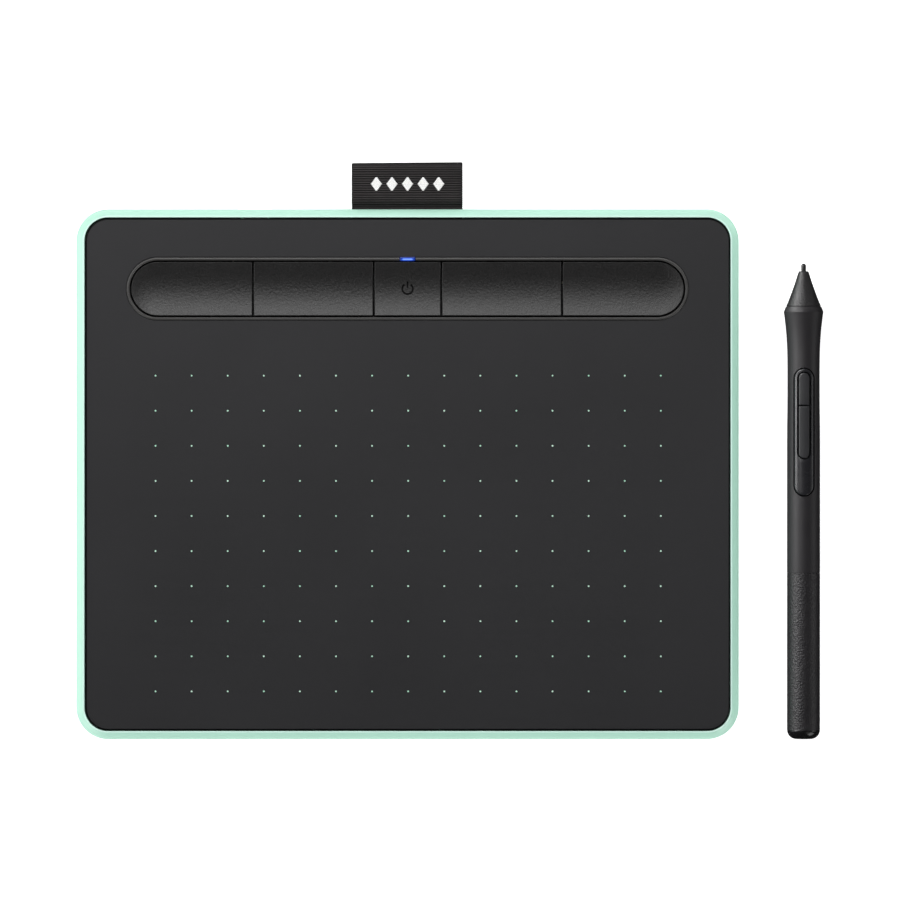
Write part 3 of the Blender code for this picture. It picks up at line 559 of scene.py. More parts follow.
def smooth_route(through, per_span=4):
    """Points along one smooth curve through the given points."""
    pts = [Vector(p) for p in through]
    pts = [2 * pts[0] - pts[1], *pts, 2 * pts[-1] - pts[-2]]
    out = []
    for p0, p1, p2, p3 in zip(pts, pts[1:], pts[2:], pts[3:]):
        for k in range(per_span):
            t = k / per_span
            out.append(0.5 * ((2 * p1) + (p2 - p0) * t + (2 * p0 - 5 * p1 + 4 * p2 - p3) * t * t + (3 * p1 - p0 - 3 * p2 + p3) * t ** 3))
    out.append(pts[-2])
    return out


def mesh_from(name, verts, faces, weld=2e-7):
    """verts are Vectors in metres. The result is closed up, with its faces turned outwards."""
    bm = bmesh.new()
    made = [bm.verts.new(v) for v in verts]
    for f in faces:
        ring = [made[i] for k, i in enumerate(f) if i != f[k - 1]]
        if len(ring) > 2 and len(set(ring)) == len(ring):
            try:
                bm.faces.new(ring)
            except ValueError:
                pass
    bmesh.ops.remove_doubles(bm, verts=bm.verts, dist=weld)
    bmesh.ops.dissolve_degenerate(bm, edges=bm.edges, dist=weld)
    bmesh.ops.recalc_face_normals(bm, faces=bm.faces)
    mesh = bpy.data.meshes.new(name)
    bm.to_mesh(mesh)
    bm.free()
    return mesh


def flat_faces_kept(mesh):
    """The mesh with normals that follow its large faces, so that a rounded edge doesn't shade the flat face beside it."""
    carrier = bpy.data.objects.new(mesh.name + "_normals", mesh)
    HELPERS.objects.link(carrier)
    weigh = carrier.modifiers.new("weigh", "WEIGHTED_NORMAL")
    weigh.keep_sharp = True
    weigh.weight = 100
    bpy.context.view_layer.update()
    out = bpy.data.meshes.new_from_object(carrier.evaluated_get(bpy.context.evaluated_depsgraph_get()))
    out.name = mesh.name
    bpy.data.objects.remove(carrier, do_unlink=True)
    return out


def piece(name, mesh, material, body=None, replaces=(), slot=None, sharp=35.0, flat=True):
    mesh.materials.clear()
    mesh.materials.append(material)
    mesh.shade_smooth()
    mesh.set_sharp_from_angle(angle=math.radians(sharp))
    if flat:
        mesh = flat_faces_kept(mesh)
    made = bpy.data.objects.new(name, mesh)
    LOOKS.objects.link(made)
    if body:
        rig.ride(made, body)
    if replaces:
        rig.replaces(made, *replaces)
    if slot:
        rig.slot(made, slot)
    return made


def skin(rings, closed=True, around=False):
    """(verts, faces) of a skin over rings of equal length. around joins the last ring to the first; closed adds end caps."""
    n = len(rings[0])
    verts = [v for ring in rings for v in ring]
    faces = []
    spans = len(rings) if around else len(rings) - 1
    for r in range(spans):
        a, b = r * n, ((r + 1) % len(rings)) * n
        for k in range(n):
            j = (k + 1) % n
            faces.append((a + k, a + j, b + j, b + k))
    if closed and not around:
        faces.append(tuple(range(n)))
        faces.append(tuple(range((len(rings) - 1) * n, len(rings) * n)))
    return verts, faces


def flat_rings(outlines_z, place=T):
    return [[place(x, y, z) for x, y in outline] for outline, z in outlines_z]


def lofted(name, outlines_z, around=False, place=T):
    return mesh_from(name, *skin(flat_rings(outlines_z, place), around=around))


def turned(name, profile, steps=96, place=None, centre=(0.0, 0.0)):
    """A turned piece about Z through centre, or about the pen's axis when place is None: profile is (radius, height or distance from the tip)."""
    rings = []
    for r, s in profile:
        ring = []
        for k in range(steps):
            a = 2 * math.pi * k / steps
            x, h = r * math.cos(a), r * math.sin(a)
            ring.append(P(x, s, h) if place is None else place(centre[0] + x, centre[1] + h, s))
        rings.append(ring)
    around = min(r for r, _ in profile) > 1e-6
    return mesh_from(name, *skin(rings, closed=False, around=around))


def cutter(name, mesh):
    made = bpy.data.objects.new(name, mesh)
    HELPERS.objects.link(made)
    return made


def carve(mesh, *tools, operation="DIFFERENCE"):
    """The mesh after these cuts."""
    base = bpy.data.objects.new(mesh.name + "_base", mesh)
    HELPERS.objects.link(base)
    for tool in tools:
        change = base.modifiers.new(tool.name, "BOOLEAN")
        change.operation = operation
        change.object = tool
        change.solver = "EXACT"
    bpy.context.view_layer.update()
    out = bpy.data.meshes.new_from_object(base.evaluated_get(bpy.context.evaluated_depsgraph_get()))
    out.name = mesh.name
    for o in (base, *tools):
        bpy.data.objects.remove(o, do_unlink=True)
    return out


def block_mesh(name, lo, hi, bevel=0.0, segments=3, place=T):
    bm = bmesh.new()
    bmesh.ops.create_cube(bm, size=1.0)
    for v in bm.verts:
        v.co = place(*(lo[i] if v.co[i] < 0 else hi[i] for i in range(3)))
    if bevel:
        bmesh.ops.bevel(bm, geom=bm.edges[:], offset=bevel * MM, segments=segments, profile=0.5, affect="EDGES")
    bmesh.ops.recalc_face_normals(bm, faces=bm.faces)
    mesh = bpy.data.meshes.new(name)
    bm.to_mesh(mesh)
    bm.free()
    return mesh


def merged(name, *meshes):
    """One mesh that holds these as separate shells."""
    bm = bmesh.new()
    for mesh in meshes:
        bm.from_mesh(mesh)
    out = bpy.data.meshes.new(name)
    bm.to_mesh(out)
    bm.free()
    return out


def facing_rear(outline, stations):
    """Rings in X and Z at stations (grow, y): a prism through the rear wall whose mouth can flare."""
    return [[T(x, y, z) for x, z in outline(grow)] for grow, y in stations]


# ------------------------------------------------------------------ the green tub
def case_ring(inset, z, n=20):
    return rounded(TABLET_W - 2 * inset, TABLET_D - 2 * inset, max(TABLET_R - inset, 1.6), n), z


def case_profile():
    out = [(5.0 * (1 - math.sin(t)) + 0.0, CASE_Z0 + 3.7 * (1 - math.cos(t))) for t in (math.pi / 2 * k / 10 for k in range(11))]
    out.insert(0, (5.35, CASE_Z0))
    out += [(0.0, 5.1), (0.0, 5.9)]
    out += [(4.16 * (1 - math.cos(t)), 5.9 + 3.28 * math.sin(t)) for t in (math.radians(60) * k / 10 for k in range(1, 11))]
    return out


outside = case_profile()
lip = filleted([outside[-1], (2.16, LIP_Z), (LIP_INSET, LIP_Z), (LIP_INSET, 3.2), (4.2, 1.9)], (0.05, 0.1, 1.0), 4)
case = lofted("case_shell", [case_ring(*p) for p in outside + lip[1:]])
tools = []
for side in FEET:
    lo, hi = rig.box(f"foot_{side}")
    cx, cy = (lo.x + hi.x) / 2 / MM - TX, (lo.y + hi.y) / 2 / MM - TY
    tools.append(cutter(f"foot_recess_{side}", lofted("recess", [(rounded(FOOT_W + 2 * g, FOOT_D + 2 * g, FOOT_D / 2 + g, 12, cx, cy), z)
                                                              for g, z in ((0.75, 0.3), (0.42, 0.66), (0.32, 0.8), (0.3, 1.12))])))
for i, (x, y) in enumerate(SCREWS[4:]):
    tools.append(cutter(f"screw_seat_{i}", turned("seat", [(0.0, 0.2), (3.0, 0.2), (2.5, 0.7), (2.35, 0.85), (2.35, 2.35), (0.0, 2.35)], 40, T, (x, y))))


def slot_outline(w, h, r, cx, cz):
    return lambda grow: rounded(w + 2 * grow, h + 2 * grow, r + grow, 8, cx, cz)


finger = slot_outline(10.8, 3.9, 1.3, USB_X, USB_Z)
mouth = slot_outline(8.8, 3.5, 1.0, USB_X, USB_Z)
exit_slot = slot_outline(LOOP_W + 1.2, 2.9, 1.0, LOOP_X, LOOP_Z)
for name, outline, stations in (("usb_finger_recess", finger, ((0.9, 80.6), (0.28, 79.98), (0.08, 79.78), (0.0, 79.55), (0.0, 79.3))),
                                ("usb_mouth", mouth, ((0.25, 79.5), (0.2, 79.3), (0.0, 79.1), (0.0, 75.0))),
                                ("loop_slot", exit_slot, ((1.1, 80.8), (0.3, 80.0), (0.08, 79.8), (0.0, 79.5), (0.0, 75.0)))):
    tools.append(cutter(name, mesh_from(name, *skin(facing_rear(outline, stations)))))
piece("case_shell", carve(case, *tools), case_material(), "tablet", ["bottom_case"], "green_plastic", 30)

# ------------------------------------------------------------------ cover, drawing sheet and grid marks
COVER_W, COVER_D = TABLET_W - 2 * (LIP_INSET + COVER_GAP), TABLET_D - 2 * (LIP_INSET + COVER_GAP)
COVER_R = TABLET_R - LIP_INSET - COVER_GAP


def slab_curve(name, outlines, z0, z1, edge=0.0, segments=3, place=None):
    """A flat plate with holes, whose edges are rounded by edge, as a mesh. The plate's own faces are filled between the outlines."""
    curve = bpy.data.curves.new(name, "CURVE")
    curve.dimensions = "2D"
    curve.fill_mode = "BOTH"
    curve.extrude = ((z1 - z0) / 2 - edge) * MM
    curve.bevel_depth = edge * MM
    curve.bevel_resolution = segments
    curve.offset = -edge * MM
    for outline in outlines:
        spline = curve.splines.new("POLY")
        spline.points.add(len(outline) - 1)
        for point, (x, y) in zip(spline.points, outline):
            point.co = (x * MM, y * MM, 0.0, 1.0)
        spline.use_cyclic_u = True
    flat = bpy.data.objects.new(name + "_outline", curve)
    HELPERS.objects.link(flat)
    flat.location = (TX * MM, TY * MM, (z0 + z1) / 2 * MM)
    bpy.context.view_layer.update()
    mesh = bpy.data.meshes.new_from_object(flat.evaluated_get(bpy.context.evaluated_depsgraph_get()))
    mesh.transform(flat.matrix_world)
    bpy.data.objects.remove(flat, do_unlink=True)
    bm = bmesh.new()
    bm.from_mesh(mesh)
    bmesh.ops.remove_doubles(bm, verts=bm.verts, dist=5e-7)
    bmesh.ops.recalc_face_normals(bm, faces=bm.faces)
    bm.to_mesh(mesh)
    bm.free()
    mesh.name = name
    return mesh


def pod_outline(grow, n=28):
    return rounded(POD_W + 2 * grow, POD_D + 2 * grow, POD_D / 2 + grow, n, 0.0, POD_Y)


piece("panel_film", slab_curve("panel_film", [rounded(COVER_W - 0.66, COVER_D - 0.7, COVER_R - 0.33, 20, 0.09, -0.07), pod_outline(0.0)], SHEET_Z0, SHEET_Z1, 0.05, 2),
      sheet_material(), "tablet", ["surface_sheet"], "drawing_sheet")
nodes["top_cover"].data.materials[0] = COVER
marks = []
for i in range(15):
    for k in range(10):
        x, y = GRID_X + (i - 7) * GRID_DX, GRID_Y + (k - 4.5) * GRID_DY
        marks.append(turned("mark", [(0.0, SHEET_Z1 - 0.05), (0.27, SHEET_Z1 - 0.05), (0.27, SHEET_Z1 + 0.012), (0.235, SHEET_Z1 + 0.022), (0.0, SHEET_Z1 + 0.026)], 12, T, (x, y)))
piece("grid_marks", merged("grid_marks", *marks), mark_material(), "tablet", (), "drawing_sheet", 50)

# ------------------------------------------------------------------ key bezel and light window
IN = (POD_IN_D - POD_D) / 2
section = filleted([(-0.6, 5.9), (1.7, 5.9), (1.7, 6.6), (0.0, 6.6), (0.0, 8.02), (-0.16, 8.02), (-0.16, 8.56), (-0.26, LIP_Z - 0.05), (-0.5, LIP_Z), (IN + 0.2, LIP_Z), (IN, 8.52), (IN, 5.9), (-0.6, 5.9)],
                   (0.05, 0.05, 0.0, 0.0, 0.0, 0.08, 0.4, 0.3, 0.2, 0.2, 0.0), 5)[:-1]
bezel = lofted("bezel_ring", [(pod_outline(g), z) for g, z in section], around=True)
LIGHT_Y = POD_Y + (POD_IN_D + POD_D) / 4 - 0.05
piece("bezel_ring", carve(bezel, cutter("light_slot", block_mesh("light_slot", (-2.42, POD_Y + 7.9, 4.9), (2.42, POD_Y + 12.5, 9.9)))), BEZEL, "tablet", ["key_bezel"], "black_plastic", 40)
guide = block_mesh("guide_top", (-2.34, LIGHT_Y - 0.62, 5.7), (2.34, LIGHT_Y + 0.62, 8.82), 0.22, 4)
foot_part = block_mesh("guide_foot", (-3.9, LIGHT_Y - 0.4, 4.5), (3.9, LIGHT_Y + 0.4, 5.6), 0.08, 2)
neck = block_mesh("guide_neck", (-1.8, LIGHT_Y - 0.35, 5.5), (1.8, LIGHT_Y + 0.35, 5.9), 0.0)
window = carve(guide, cutter("guide_neck", neck), cutter("guide_foot", foot_part), operation="UNION")
piece("light_window", window, light_material(), "tablet", ["light_guide"], "light_guide", 40)

# ------------------------------------------------------------------ the dished keys
R_END, KEY_ROUND = KEYS_D / 2, 0.18
KEYS = keys_material()


def dish(half):
    """The dished top's height this far from the row's spine: a round trough."""
    radius = (R_END ** 2 + (KEY_EDGE_Z - KEY_DISH_Z) ** 2) / 2 / (KEY_EDGE_Z - KEY_DISH_Z)
    return KEY_DISH_Z + radius - math.sqrt(radius * radius - half * half)


def key_mesh(name, x0, x1):
    """A key: rings at growing distance from the row's spine, run over the rounded edge, down the wall and under."""
    spine = KEYS_W / 2 - R_END
    left, right = (-spine if x0 is None else x0), (spine if x1 is None else x1)
    end_steps, along = 40, 24

    def ring(half, z, inset=0.0):
        """A closed ring at this distance from the spine, pulled in by inset at the flat ends."""
        out = []
        lo, hi = left + (0 if x0 is None else inset), right - (0 if x1 is None else inset)
        if x1 is None:
            out += [(hi + half * math.sin(a), POD_Y - half * math.cos(a)) for a in (math.pi * k / end_steps for k in range(end_steps + 1))]
        else:
            out += [(hi, POD_Y + half * (2 * k / along - 1)) for k in range(along + 1)]
        out += [(hi + (lo - hi) * k / 12, POD_Y + half) for k in range(1, 12)]
        if x0 is None:
            out += [(lo - half * math.sin(a), POD_Y + half * math.cos(a)) for a in (math.pi * k / end_steps for k in range(end_steps + 1))]
        else:
            out += [(lo, POD_Y + half * (1 - 2 * k / along)) for k in range(along + 1)]
        out += [(lo + (hi - lo) * k / 12, POD_Y - half) for k in range(1, 12)]
        return [T(x, y, z(abs(y - POD_Y), x) if callable(z) else z) for x, y in out]

    def height(drop):
        """The dish at a point, lowered by drop."""
        def at(dy, x):
            beyond = max(0.0, x - spine if x1 is None else 0.0, -spine - x if x0 is None else 0.0)
            return dish(min(math.hypot(dy, beyond), R_END)) - drop
        return at

    rounding = [(KEY_ROUND * (1 - math.sin(a)), KEY_ROUND * (1 - math.cos(a))) for a in (math.pi / 2 * k / 4 for k in range(5))]
    rings = []
    for k in range(0, 15):
        rings.append(ring((R_END - KEY_ROUND) * k / 15 + 1e-4, height(0.0), KEY_ROUND))
    for inset, drop in rounding:
        rings.append(ring(R_END - inset, height(drop), inset))
    rings.append(ring(R_END, KEY_BASE_Z + 0.15, 0.0))
    rings.append(ring(R_END - 0.15, KEY_BASE_Z, 0.15))
    return mesh_from(name, *skin(rings))


a, b, c, d = KEY_SPLITS
G = KEY_GAP / 2
KEY_ROW = (("key_left_outer", None, a - G), ("key_left_inner", a + G, b - G), ("power_key", b + G, c - G),
           ("key_right_inner", c + G, d - G), ("key_right_outer", d + G, None))
for name, x0, x1 in KEY_ROW:
    mesh = key_mesh(name + "_cap", x0, x1)
    lo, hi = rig.box(name)
    lugs = ((-6.6, 4.2), (6.6, 4.2)) if name == "power_key" else ((0.0, 9.0),)
    cx = {"key_left_outer": -64.0, "key_right_outer": 64.0, "power_key": 0.0}.get(name, ((x0 or 0) + (x1 or 0)) / 2)
    additions = [cutter(f"lug_{i}", block_mesh("lug", (cx + at - w / 2, POD_Y - KEYS_D / 2 - 1.15, KEY_BASE_Z), (cx + at + w / 2, POD_Y + KEYS_D / 2 + 1.15, KEY_BASE_Z + 0.74), 0.1, 2))
                 for i, (at, w) in enumerate(lugs)]
    additions.append(cutter("plunger", turned("plunger", [(0.0, 4.4), (1.85, 4.4), (2.0, 4.55), (2.0, 5.3), (0.0, 5.3)], 40, T, (cx, POD_Y))))
    mesh = carve(mesh, *additions, operation="UNION")
    if name == "power_key":
        groove = []
        ring_r, line = 1.6, 0.27
        arc = [math.radians(90 + 36 + (360 - 72) * k / 44) for k in range(45)]
        outer = [((ring_r + line) * math.cos(t), POD_Y + (ring_r + line) * math.sin(t)) for t in arc]
        inner = [((ring_r - line) * math.cos(t), POD_Y + (ring_r - line) * math.sin(t)) for t in arc]
        groove.append(cutter("power_ring", lofted("power_ring", [(outer + inner[::-1], 6.4), (outer + inner[::-1], 8.6)])))
        stem = rounded(2 * line, 2.0, line - 0.01, 6, 0.0, POD_Y + 1.3)
        groove.append(cutter("power_stem", lofted("power_stem", [(stem, 6.4), (stem, 8.6)])))
        mesh = carve(mesh, *groove)
    piece(name + "_cap", mesh, KEYS, name, [name], "key_plastic", 32)

# ------------------------------------------------------------------ the woven pen loop
RIB, RIB_DEPTH = 0.7, 0.13
LOOP_TIP = TABLET_D / 2 + LOOP_REACH - LOOP_T / 2
TOP, NECK = LOOP_H / 2 - LOOP_T / 2, 0.72
upper = [(71.2, 1.15), (72.6, 1.3), (74.2, 1.05), (76.0, NECK), (79.0, NECK), (81.0, 0.95), (82.4, 1.9), (84.0, TOP - 0.12),
         (86.2, TOP), (88.9, TOP), (91.2, TOP - 0.22), (92.8, 1.8), (LOOP_TIP, 0.0)]


def even(line, step):
    """The closed line's points again, the same distance apart."""
    line = [Vector(p) for p in line]
    lengths = [(b - a).length for a, b in zip(line, line[1:] + line[:1])]
    total = sum(lengths)
    count = max(8, round(total / step))
    out, i, walked = [], 0, 0.0
    for k in range(count):
        want = total * k / count
        while walked + lengths[i] < want:
            walked += lengths[i]
            i += 1
        out.append(line[i].lerp(line[(i + 1) % len(line)], (want - walked) / lengths[i]))
    return out, total


fine = smooth_route([(y, z, 0) for y, z in upper], 24)
over = [(p.x, LOOP_Z + p.y) for p in fine[:-1]]
under = [(y, 2 * LOOP_Z - z) for y, z in over[::-1]]
turn_in = [(70.6, LOOP_Z - 0.95), (70.2, LOOP_Z - 0.55), (70.05, LOOP_Z), (70.2, LOOP_Z + 0.55), (70.6, LOOP_Z + 0.95)]
line, loop_length = even(over + [(LOOP_TIP, LOOP_Z)] + under + turn_in, RIB / 8)
ribs = round(loop_length / RIB)
columns = [-LOOP_W / 2 + e for e in (0.0, 0.06, 0.18, 0.36, 0.6)]
columns = columns + [-LOOP_W / 2 + 0.6 + (LOOP_W - 1.2) * k / 16 for k in range(1, 16)] + [-x for x in columns[::-1]]
N = len(line)
RIBBON = ribbon_material(loop_length / ribs, min((abs(line[i].x - 87.6), line[i].x) for i in range(N) if line[i].y > LOOP_Z and math.cos(2 * math.pi * ribs * i / N) > 0.92)[1])


def loop_ring(x):
    """Outer and inner outline of the ribbon's section at this x: the ribs, thinned towards the selvedge."""
    edge = LOOP_W / 2 - abs(x)
    thin = 1.0 if edge > 0.5 else math.sqrt(max(0.0, 1 - (1 - edge / 0.5) ** 2))
    outer, inner = [], []
    for i in range(N):
        before, after = line[i - 1], line[(i + 1) % N]
        tangent = (after - before).normalized()
        normal = Vector((-tangent.y, tangent.x))
        rib = math.cos(2 * math.pi * ribs * i / N)
        half = (LOOP_T / 2 - RIB_DEPTH + RIB_DEPTH * rib) * (0.25 + 0.75 * thin)
        wave = 0.06 * math.cos(2 * math.pi * ribs * i / N) * (1 - thin)
        at = x + (wave if x > 0 else -wave)
        lean = 0.008 * at * max(0.0, line[i].x - 80) / 13.4
        outer.append(T(LOOP_X + at, line[i].x + lean + normal.x * half, line[i].y + normal.y * half))
        inner.append(T(LOOP_X + at, line[i].x + lean - normal.x * half, line[i].y - normal.y * half))
    return outer, inner


sections = [loop_ring(x) for x in columns]
rings = [outer for outer, _ in sections] + [inner for _, inner in sections[::-1]]
loop = piece("ribbon_loop", mesh_from("ribbon_loop", *skin(rings, around=True)), RIBBON, "tablet", ["pen_loop"], "woven_ribbon", 80)
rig.sheet(loop, flat=(LOOP_W * MM, loop_length * MM), held="stretched", rests_on=["loop_anchor_bar"])

# A row of lozenges brocaded in white thread on the upper face.
threads = []
THREAD, CENTRE_Y, HALF_H, HALF_W, SPACING = 0.35, 87.6, 2.05, 1.75, 4.7
top_line = sorted((p.x, p.y) for i, p in enumerate(line) if p.y > LOOP_Z and 82.5 < p.x < 92.4)


def loop_top(y):
    for (y0, z0), (y1, z1) in zip(top_line, top_line[1:]):
        if y0 <= y <= y1:
            return z0 + (z1 - z0) * (y - y0) / max(1e-9, y1 - y0)
    return top_line[-1][1]


for k in range(5):
    cx = (k - 2) * SPACING
    for row in range(-5, 6):
        y = CENTRE_Y + row * THREAD * 1.04
        reach = HALF_W * (1 - abs(row) * THREAD * 1.04 / (HALF_H + 0.25))
        if reach < 0.12:
            continue
        z = loop_top(y) + LOOP_T / 2 - 0.02
        rings = []
        stations = 14
        for s in range(stations + 1):
            u = -1 + 2 * s / stations
            fat = math.sqrt(max(0.0, 1 - max(0.0, (abs(u) * reach - (reach - 0.16)) / 0.16) ** 2)) if abs(u) * reach > reach - 0.16 else 1.0
            fat = max(fat, 0.05)
            beat = 1 + 0.07 * math.sin(19 * u * reach + row * 2.1)
            rings.append([T(cx + u * reach, y + THREAD * 0.5 * fat * beat * math.cos(t), z + 0.13 * fat * beat * math.sin(t)) for t in (2 * math.pi * q / 10 for q in range(10))])
        threads.append(mesh_from("thread", *skin(rings)))
piece("loop_ornament", merged("loop_ornament", *threads), thread_material(), "tablet", (), "woven_ribbon", 60)

# ------------------------------------------------------------------ feet, screws and socket
STEEL = steel_material("steel", (0.62, 0.62, 0.61), 0.24, 0.4)
SCREW = steel_material("screw_steel", (0.32, 0.32, 0.33), 0.28, 0.45, stretch=(1, 1, 1))
for side in FEET:
    lo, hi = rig.box(f"foot_{side}")
    cx, cy = (lo.x + hi.x) / 2 / MM - TX, (lo.y + hi.y) / 2 / MM - TY
    profile = filleted([(2.0, 0.0), (0.06, 0.0), (0.0, 0.45), (0.0, 1.0), (0.8, 1.0)], (0.35, 0.3, 0.05), 6)
    piece(f"foot_pad_{side}", lofted("pad", [(rounded(FOOT_W - 2 * g, FOOT_D - 2 * g, FOOT_D / 2 - g, 14, cx, cy), z) for g, z in profile]), RUBBER, "tablet", [f"foot_{side}"], "rubber", 40)


def screw_mesh(x, y):
    head = filleted([(0.0, 1.25), (1.6, 1.3), (2.0, 1.6), (2.0, 2.28), (0.9, 2.28)], (0.6, 0.25, 0.08), 5)
    shank = [(0.9 - (0.14 if k % 2 else 0.0), 2.5 + 0.17 * k) for k in range(21)]
    body = turned("screw", head + shank + [(0.7, 6.05), (0.0, 6.3)], 40, T, (x, y))
    arms = []
    for turn in (0, 1):
        half = [(0.75, 0.17), (0.28, 0.12)]
        rings = []
        for z, k in ((1.0, 1.0), (1.32, 0.95), (1.95, 0.55)):
            w, h = (0.98 * k, 0.19 * (0.6 + 0.4 * k))
            w, h = (w, h) if turn == 0 else (h, w)
            rings.append(([(x - w, y - h), (x + w, y - h), (x + w, y + h), (x - w, y + h)], z))
        arms.append(cutter(f"arm_{turn}", lofted("arm", rings)))
    return carve(body, *arms)


for i, (x, y) in enumerate(SCREWS, 1):
    piece(f"screw_body_{i}", screw_mesh(x, y), SCREW, "tablet", [f"case_screw_{i}"], "steel", 30)


def usb_shell():
    """The charging socket's folded shell: wider at the top, with its mouth flared outwards."""
    def outline(grow, shift=0.0):
        w, top, bottom, chamfer = 3.75, 1.2, 1.2, 0.95
        return [(USB_X - w - grow, USB_Z + top + grow), (USB_X + w + grow, USB_Z + top + grow), (USB_X + w + grow, USB_Z - bottom + chamfer),
                (USB_X + w - chamfer + grow * 0.4, USB_Z - bottom - grow), (USB_X - w + chamfer - grow * 0.4, USB_Z - bottom - grow), (USB_X - w - grow, USB_Z - bottom + chamfer)]

    def soft(points, r=0.35, n=4):
        closed = points + points[:2]
        return filleted([tuple((Vector(points[-1]) + Vector(points[0])) / 2), *points, tuple((Vector(points[-1]) + Vector(points[0])) / 2)], [r] * len(points), n)[:-1]

    rings = []
    for grow, y in ((-0.28, 74.1), (0.0, 73.4), (0.0, 77.9), (0.07, 78.5), (0.1, 78.75), (0.05, 78.82), (-0.2, 78.7), (-0.28, 78.2)):
        rings.append([T(x, y, z) for x, z in soft(outline(grow))])
    shell = mesh_from("usb_shell", *skin([rings[k] for k in (1, 2, 3, 4, 5, 6, 7, 0)], around=False))
    return shell


piece("usb_shell", usb_shell(), STEEL, "tablet", ["usb_socket"], "steel", 30)
piece("usb_tongue", block_mesh("usb_tongue", (USB_X - 2.3, 74.3, USB_Z - 0.05), (USB_X + 2.3, 78.15, USB_Z + 0.42), 0.09, 3), BLACK, "tablet", ["usb_contact_tongue"], "chip_resin", 40)
GOLD = steel_material("contact_gold", (0.86, 0.62, 0.24), 0.2, 0.35)
piece("usb_contacts", merged("usb_contacts", *[block_mesh("contact", (USB_X + x - 0.16, 75.0, USB_Z - 0.1), (USB_X + x + 0.16, 78.0, USB_Z - 0.03), 0.02, 2) for x in (-1.3, -0.65, 0.0, 0.65, 1.3)]),
      GOLD, "tablet", (), "steel", 40)

# ------------------------------------------------------------------ pen shells
STEPS = 128


def smooth_stations(stations, per_span=6):
    return [(p.x, p.y) for p in smooth_route([(r, s, 0) for r, s in stations], per_span)]


tip_arc = [(0.74 * math.sin(t), 0.76 * (1 - math.cos(t))) for t in (math.pi / 2 * k / 10 for k in range(11))]
piece("nib_tip", turned("nib_tip", tip_arc + filleted([(0.74, 0.8), (0.74, 3.4), (0.66, 3.6), (0.66, 21.9), (0.5, 22.9), (0.0, 23.0)], (0.0, 0.0, 0.4, 0.2), 4), 48), NIB, "nib", ["nib"], "nib_plastic", 40)
cone = filleted([(0.96, 5.0), (0.96, 2.32), (1.36, 2.32), (1.7, 2.98), (2.04, 4.15)], (0.06, 0.2, 0.4), 5)[:-1]
cone += smooth_stations([(2.04, 4.15), (2.67, 6.1), (3.42, 8.2), (4.12, 10.1), (4.76, 11.75), (5.22, NOSE_S - 0.1)], 5)
cone += [(5.22, NOSE_S - 0.06), (5.06, NOSE_S + 0.03), (5.06, NOSE_S + 0.06), (3.7, NOSE_S + 0.06), (3.7, 15.4), (3.6, 15.5), (2.9, 15.5), (2.9, 12.4), (1.9, 8.0)]
piece("nose_shell", turned("nose_shell", cone, STEPS), NOSE, "pen", ["nose_cone"], "pen_plastic", 30)
GRIP_STATIONS = [(5.34, NOSE_S + 0.17), (5.54, 13.42), (5.81, 14.1)]
waist = smooth_stations([(5.93, 14.95), (5.86, 15.4), (5.76, 16.2), (5.63, 17.3), (5.47, 18.6), (5.3, 20.3), (5.15, 22.2), (5.02, 24.3), (4.93, 26.6), (4.88, 29.5), (4.86, 33.0),
                         (4.855, 38.0), (4.885, 43.5), (4.94, 48.0), (4.972, 52.5), (PEN_BODY_R, 60.0), (PEN_BODY_R, 76.0), (PEN_BODY_R, REAR_S - 0.2)], 5)
grip = [(5.06, NOSE_S + 0.07), (5.06, NOSE_S + 0.09)] + GRIP_STATIONS + [(5.93, 14.44), (PEN_FLARE_R, 14.64), (5.965, 14.76)] + waist
grip += [(4.965, REAR_S - 0.03), (4.9, REAR_S - 0.02), (4.4, REAR_S - 0.02), (4.35, REAR_S - 0.05), (4.35, REAR_S + 5.3), (4.2, REAR_S + 5.6), (4.0, REAR_S + 5.6), (4.0, NOSE_S + 0.07)]
grip_mesh = turned("grip_shell", grip, STEPS)


def pill(w, s0, s1, n=20):
    return rounded(w, s1 - s0, w / 2 - 1e-4, n, 0.0, (s0 + s1) / 2)


def pen_prism(name, outline_of, heights, n=20):
    return mesh_from(name, *skin([[P(x, s, h) for x, s in outline_of(grow)] for grow, h in heights]))


opening = pen_prism("plate_opening", lambda g: pill(PLATE_W + 2 * g, PLATE_S0 - g, PLATE_S1 + g), ((0.0, 1.5), (0.0, 4.25), (0.12, 4.95), (0.12, 6.5)))
piece("grip_shell", carve(grip_mesh, cutter("plate_opening", opening)), GRIP, "pen", ["grip_barrel"], "pen_grip", 30)


def crown(radius, x, drop=0.0):
    return math.sqrt(radius * radius - x * x) - drop


def edge_round(radius, n=5):
    """(inset, drop) of a rounded edge, from the outside in."""
    return [(radius * (1 - math.cos(t)), radius * (1 - math.sin(t))) for t in (math.pi / 2 * k / n for k in range(n + 1))]


def blend_outline(a, b, t):
    return [(x0 + (x1 - x0) * t, s0 + (s1 - s0) * t) for (x0, s0), (x1, s1) in zip(a, b)]


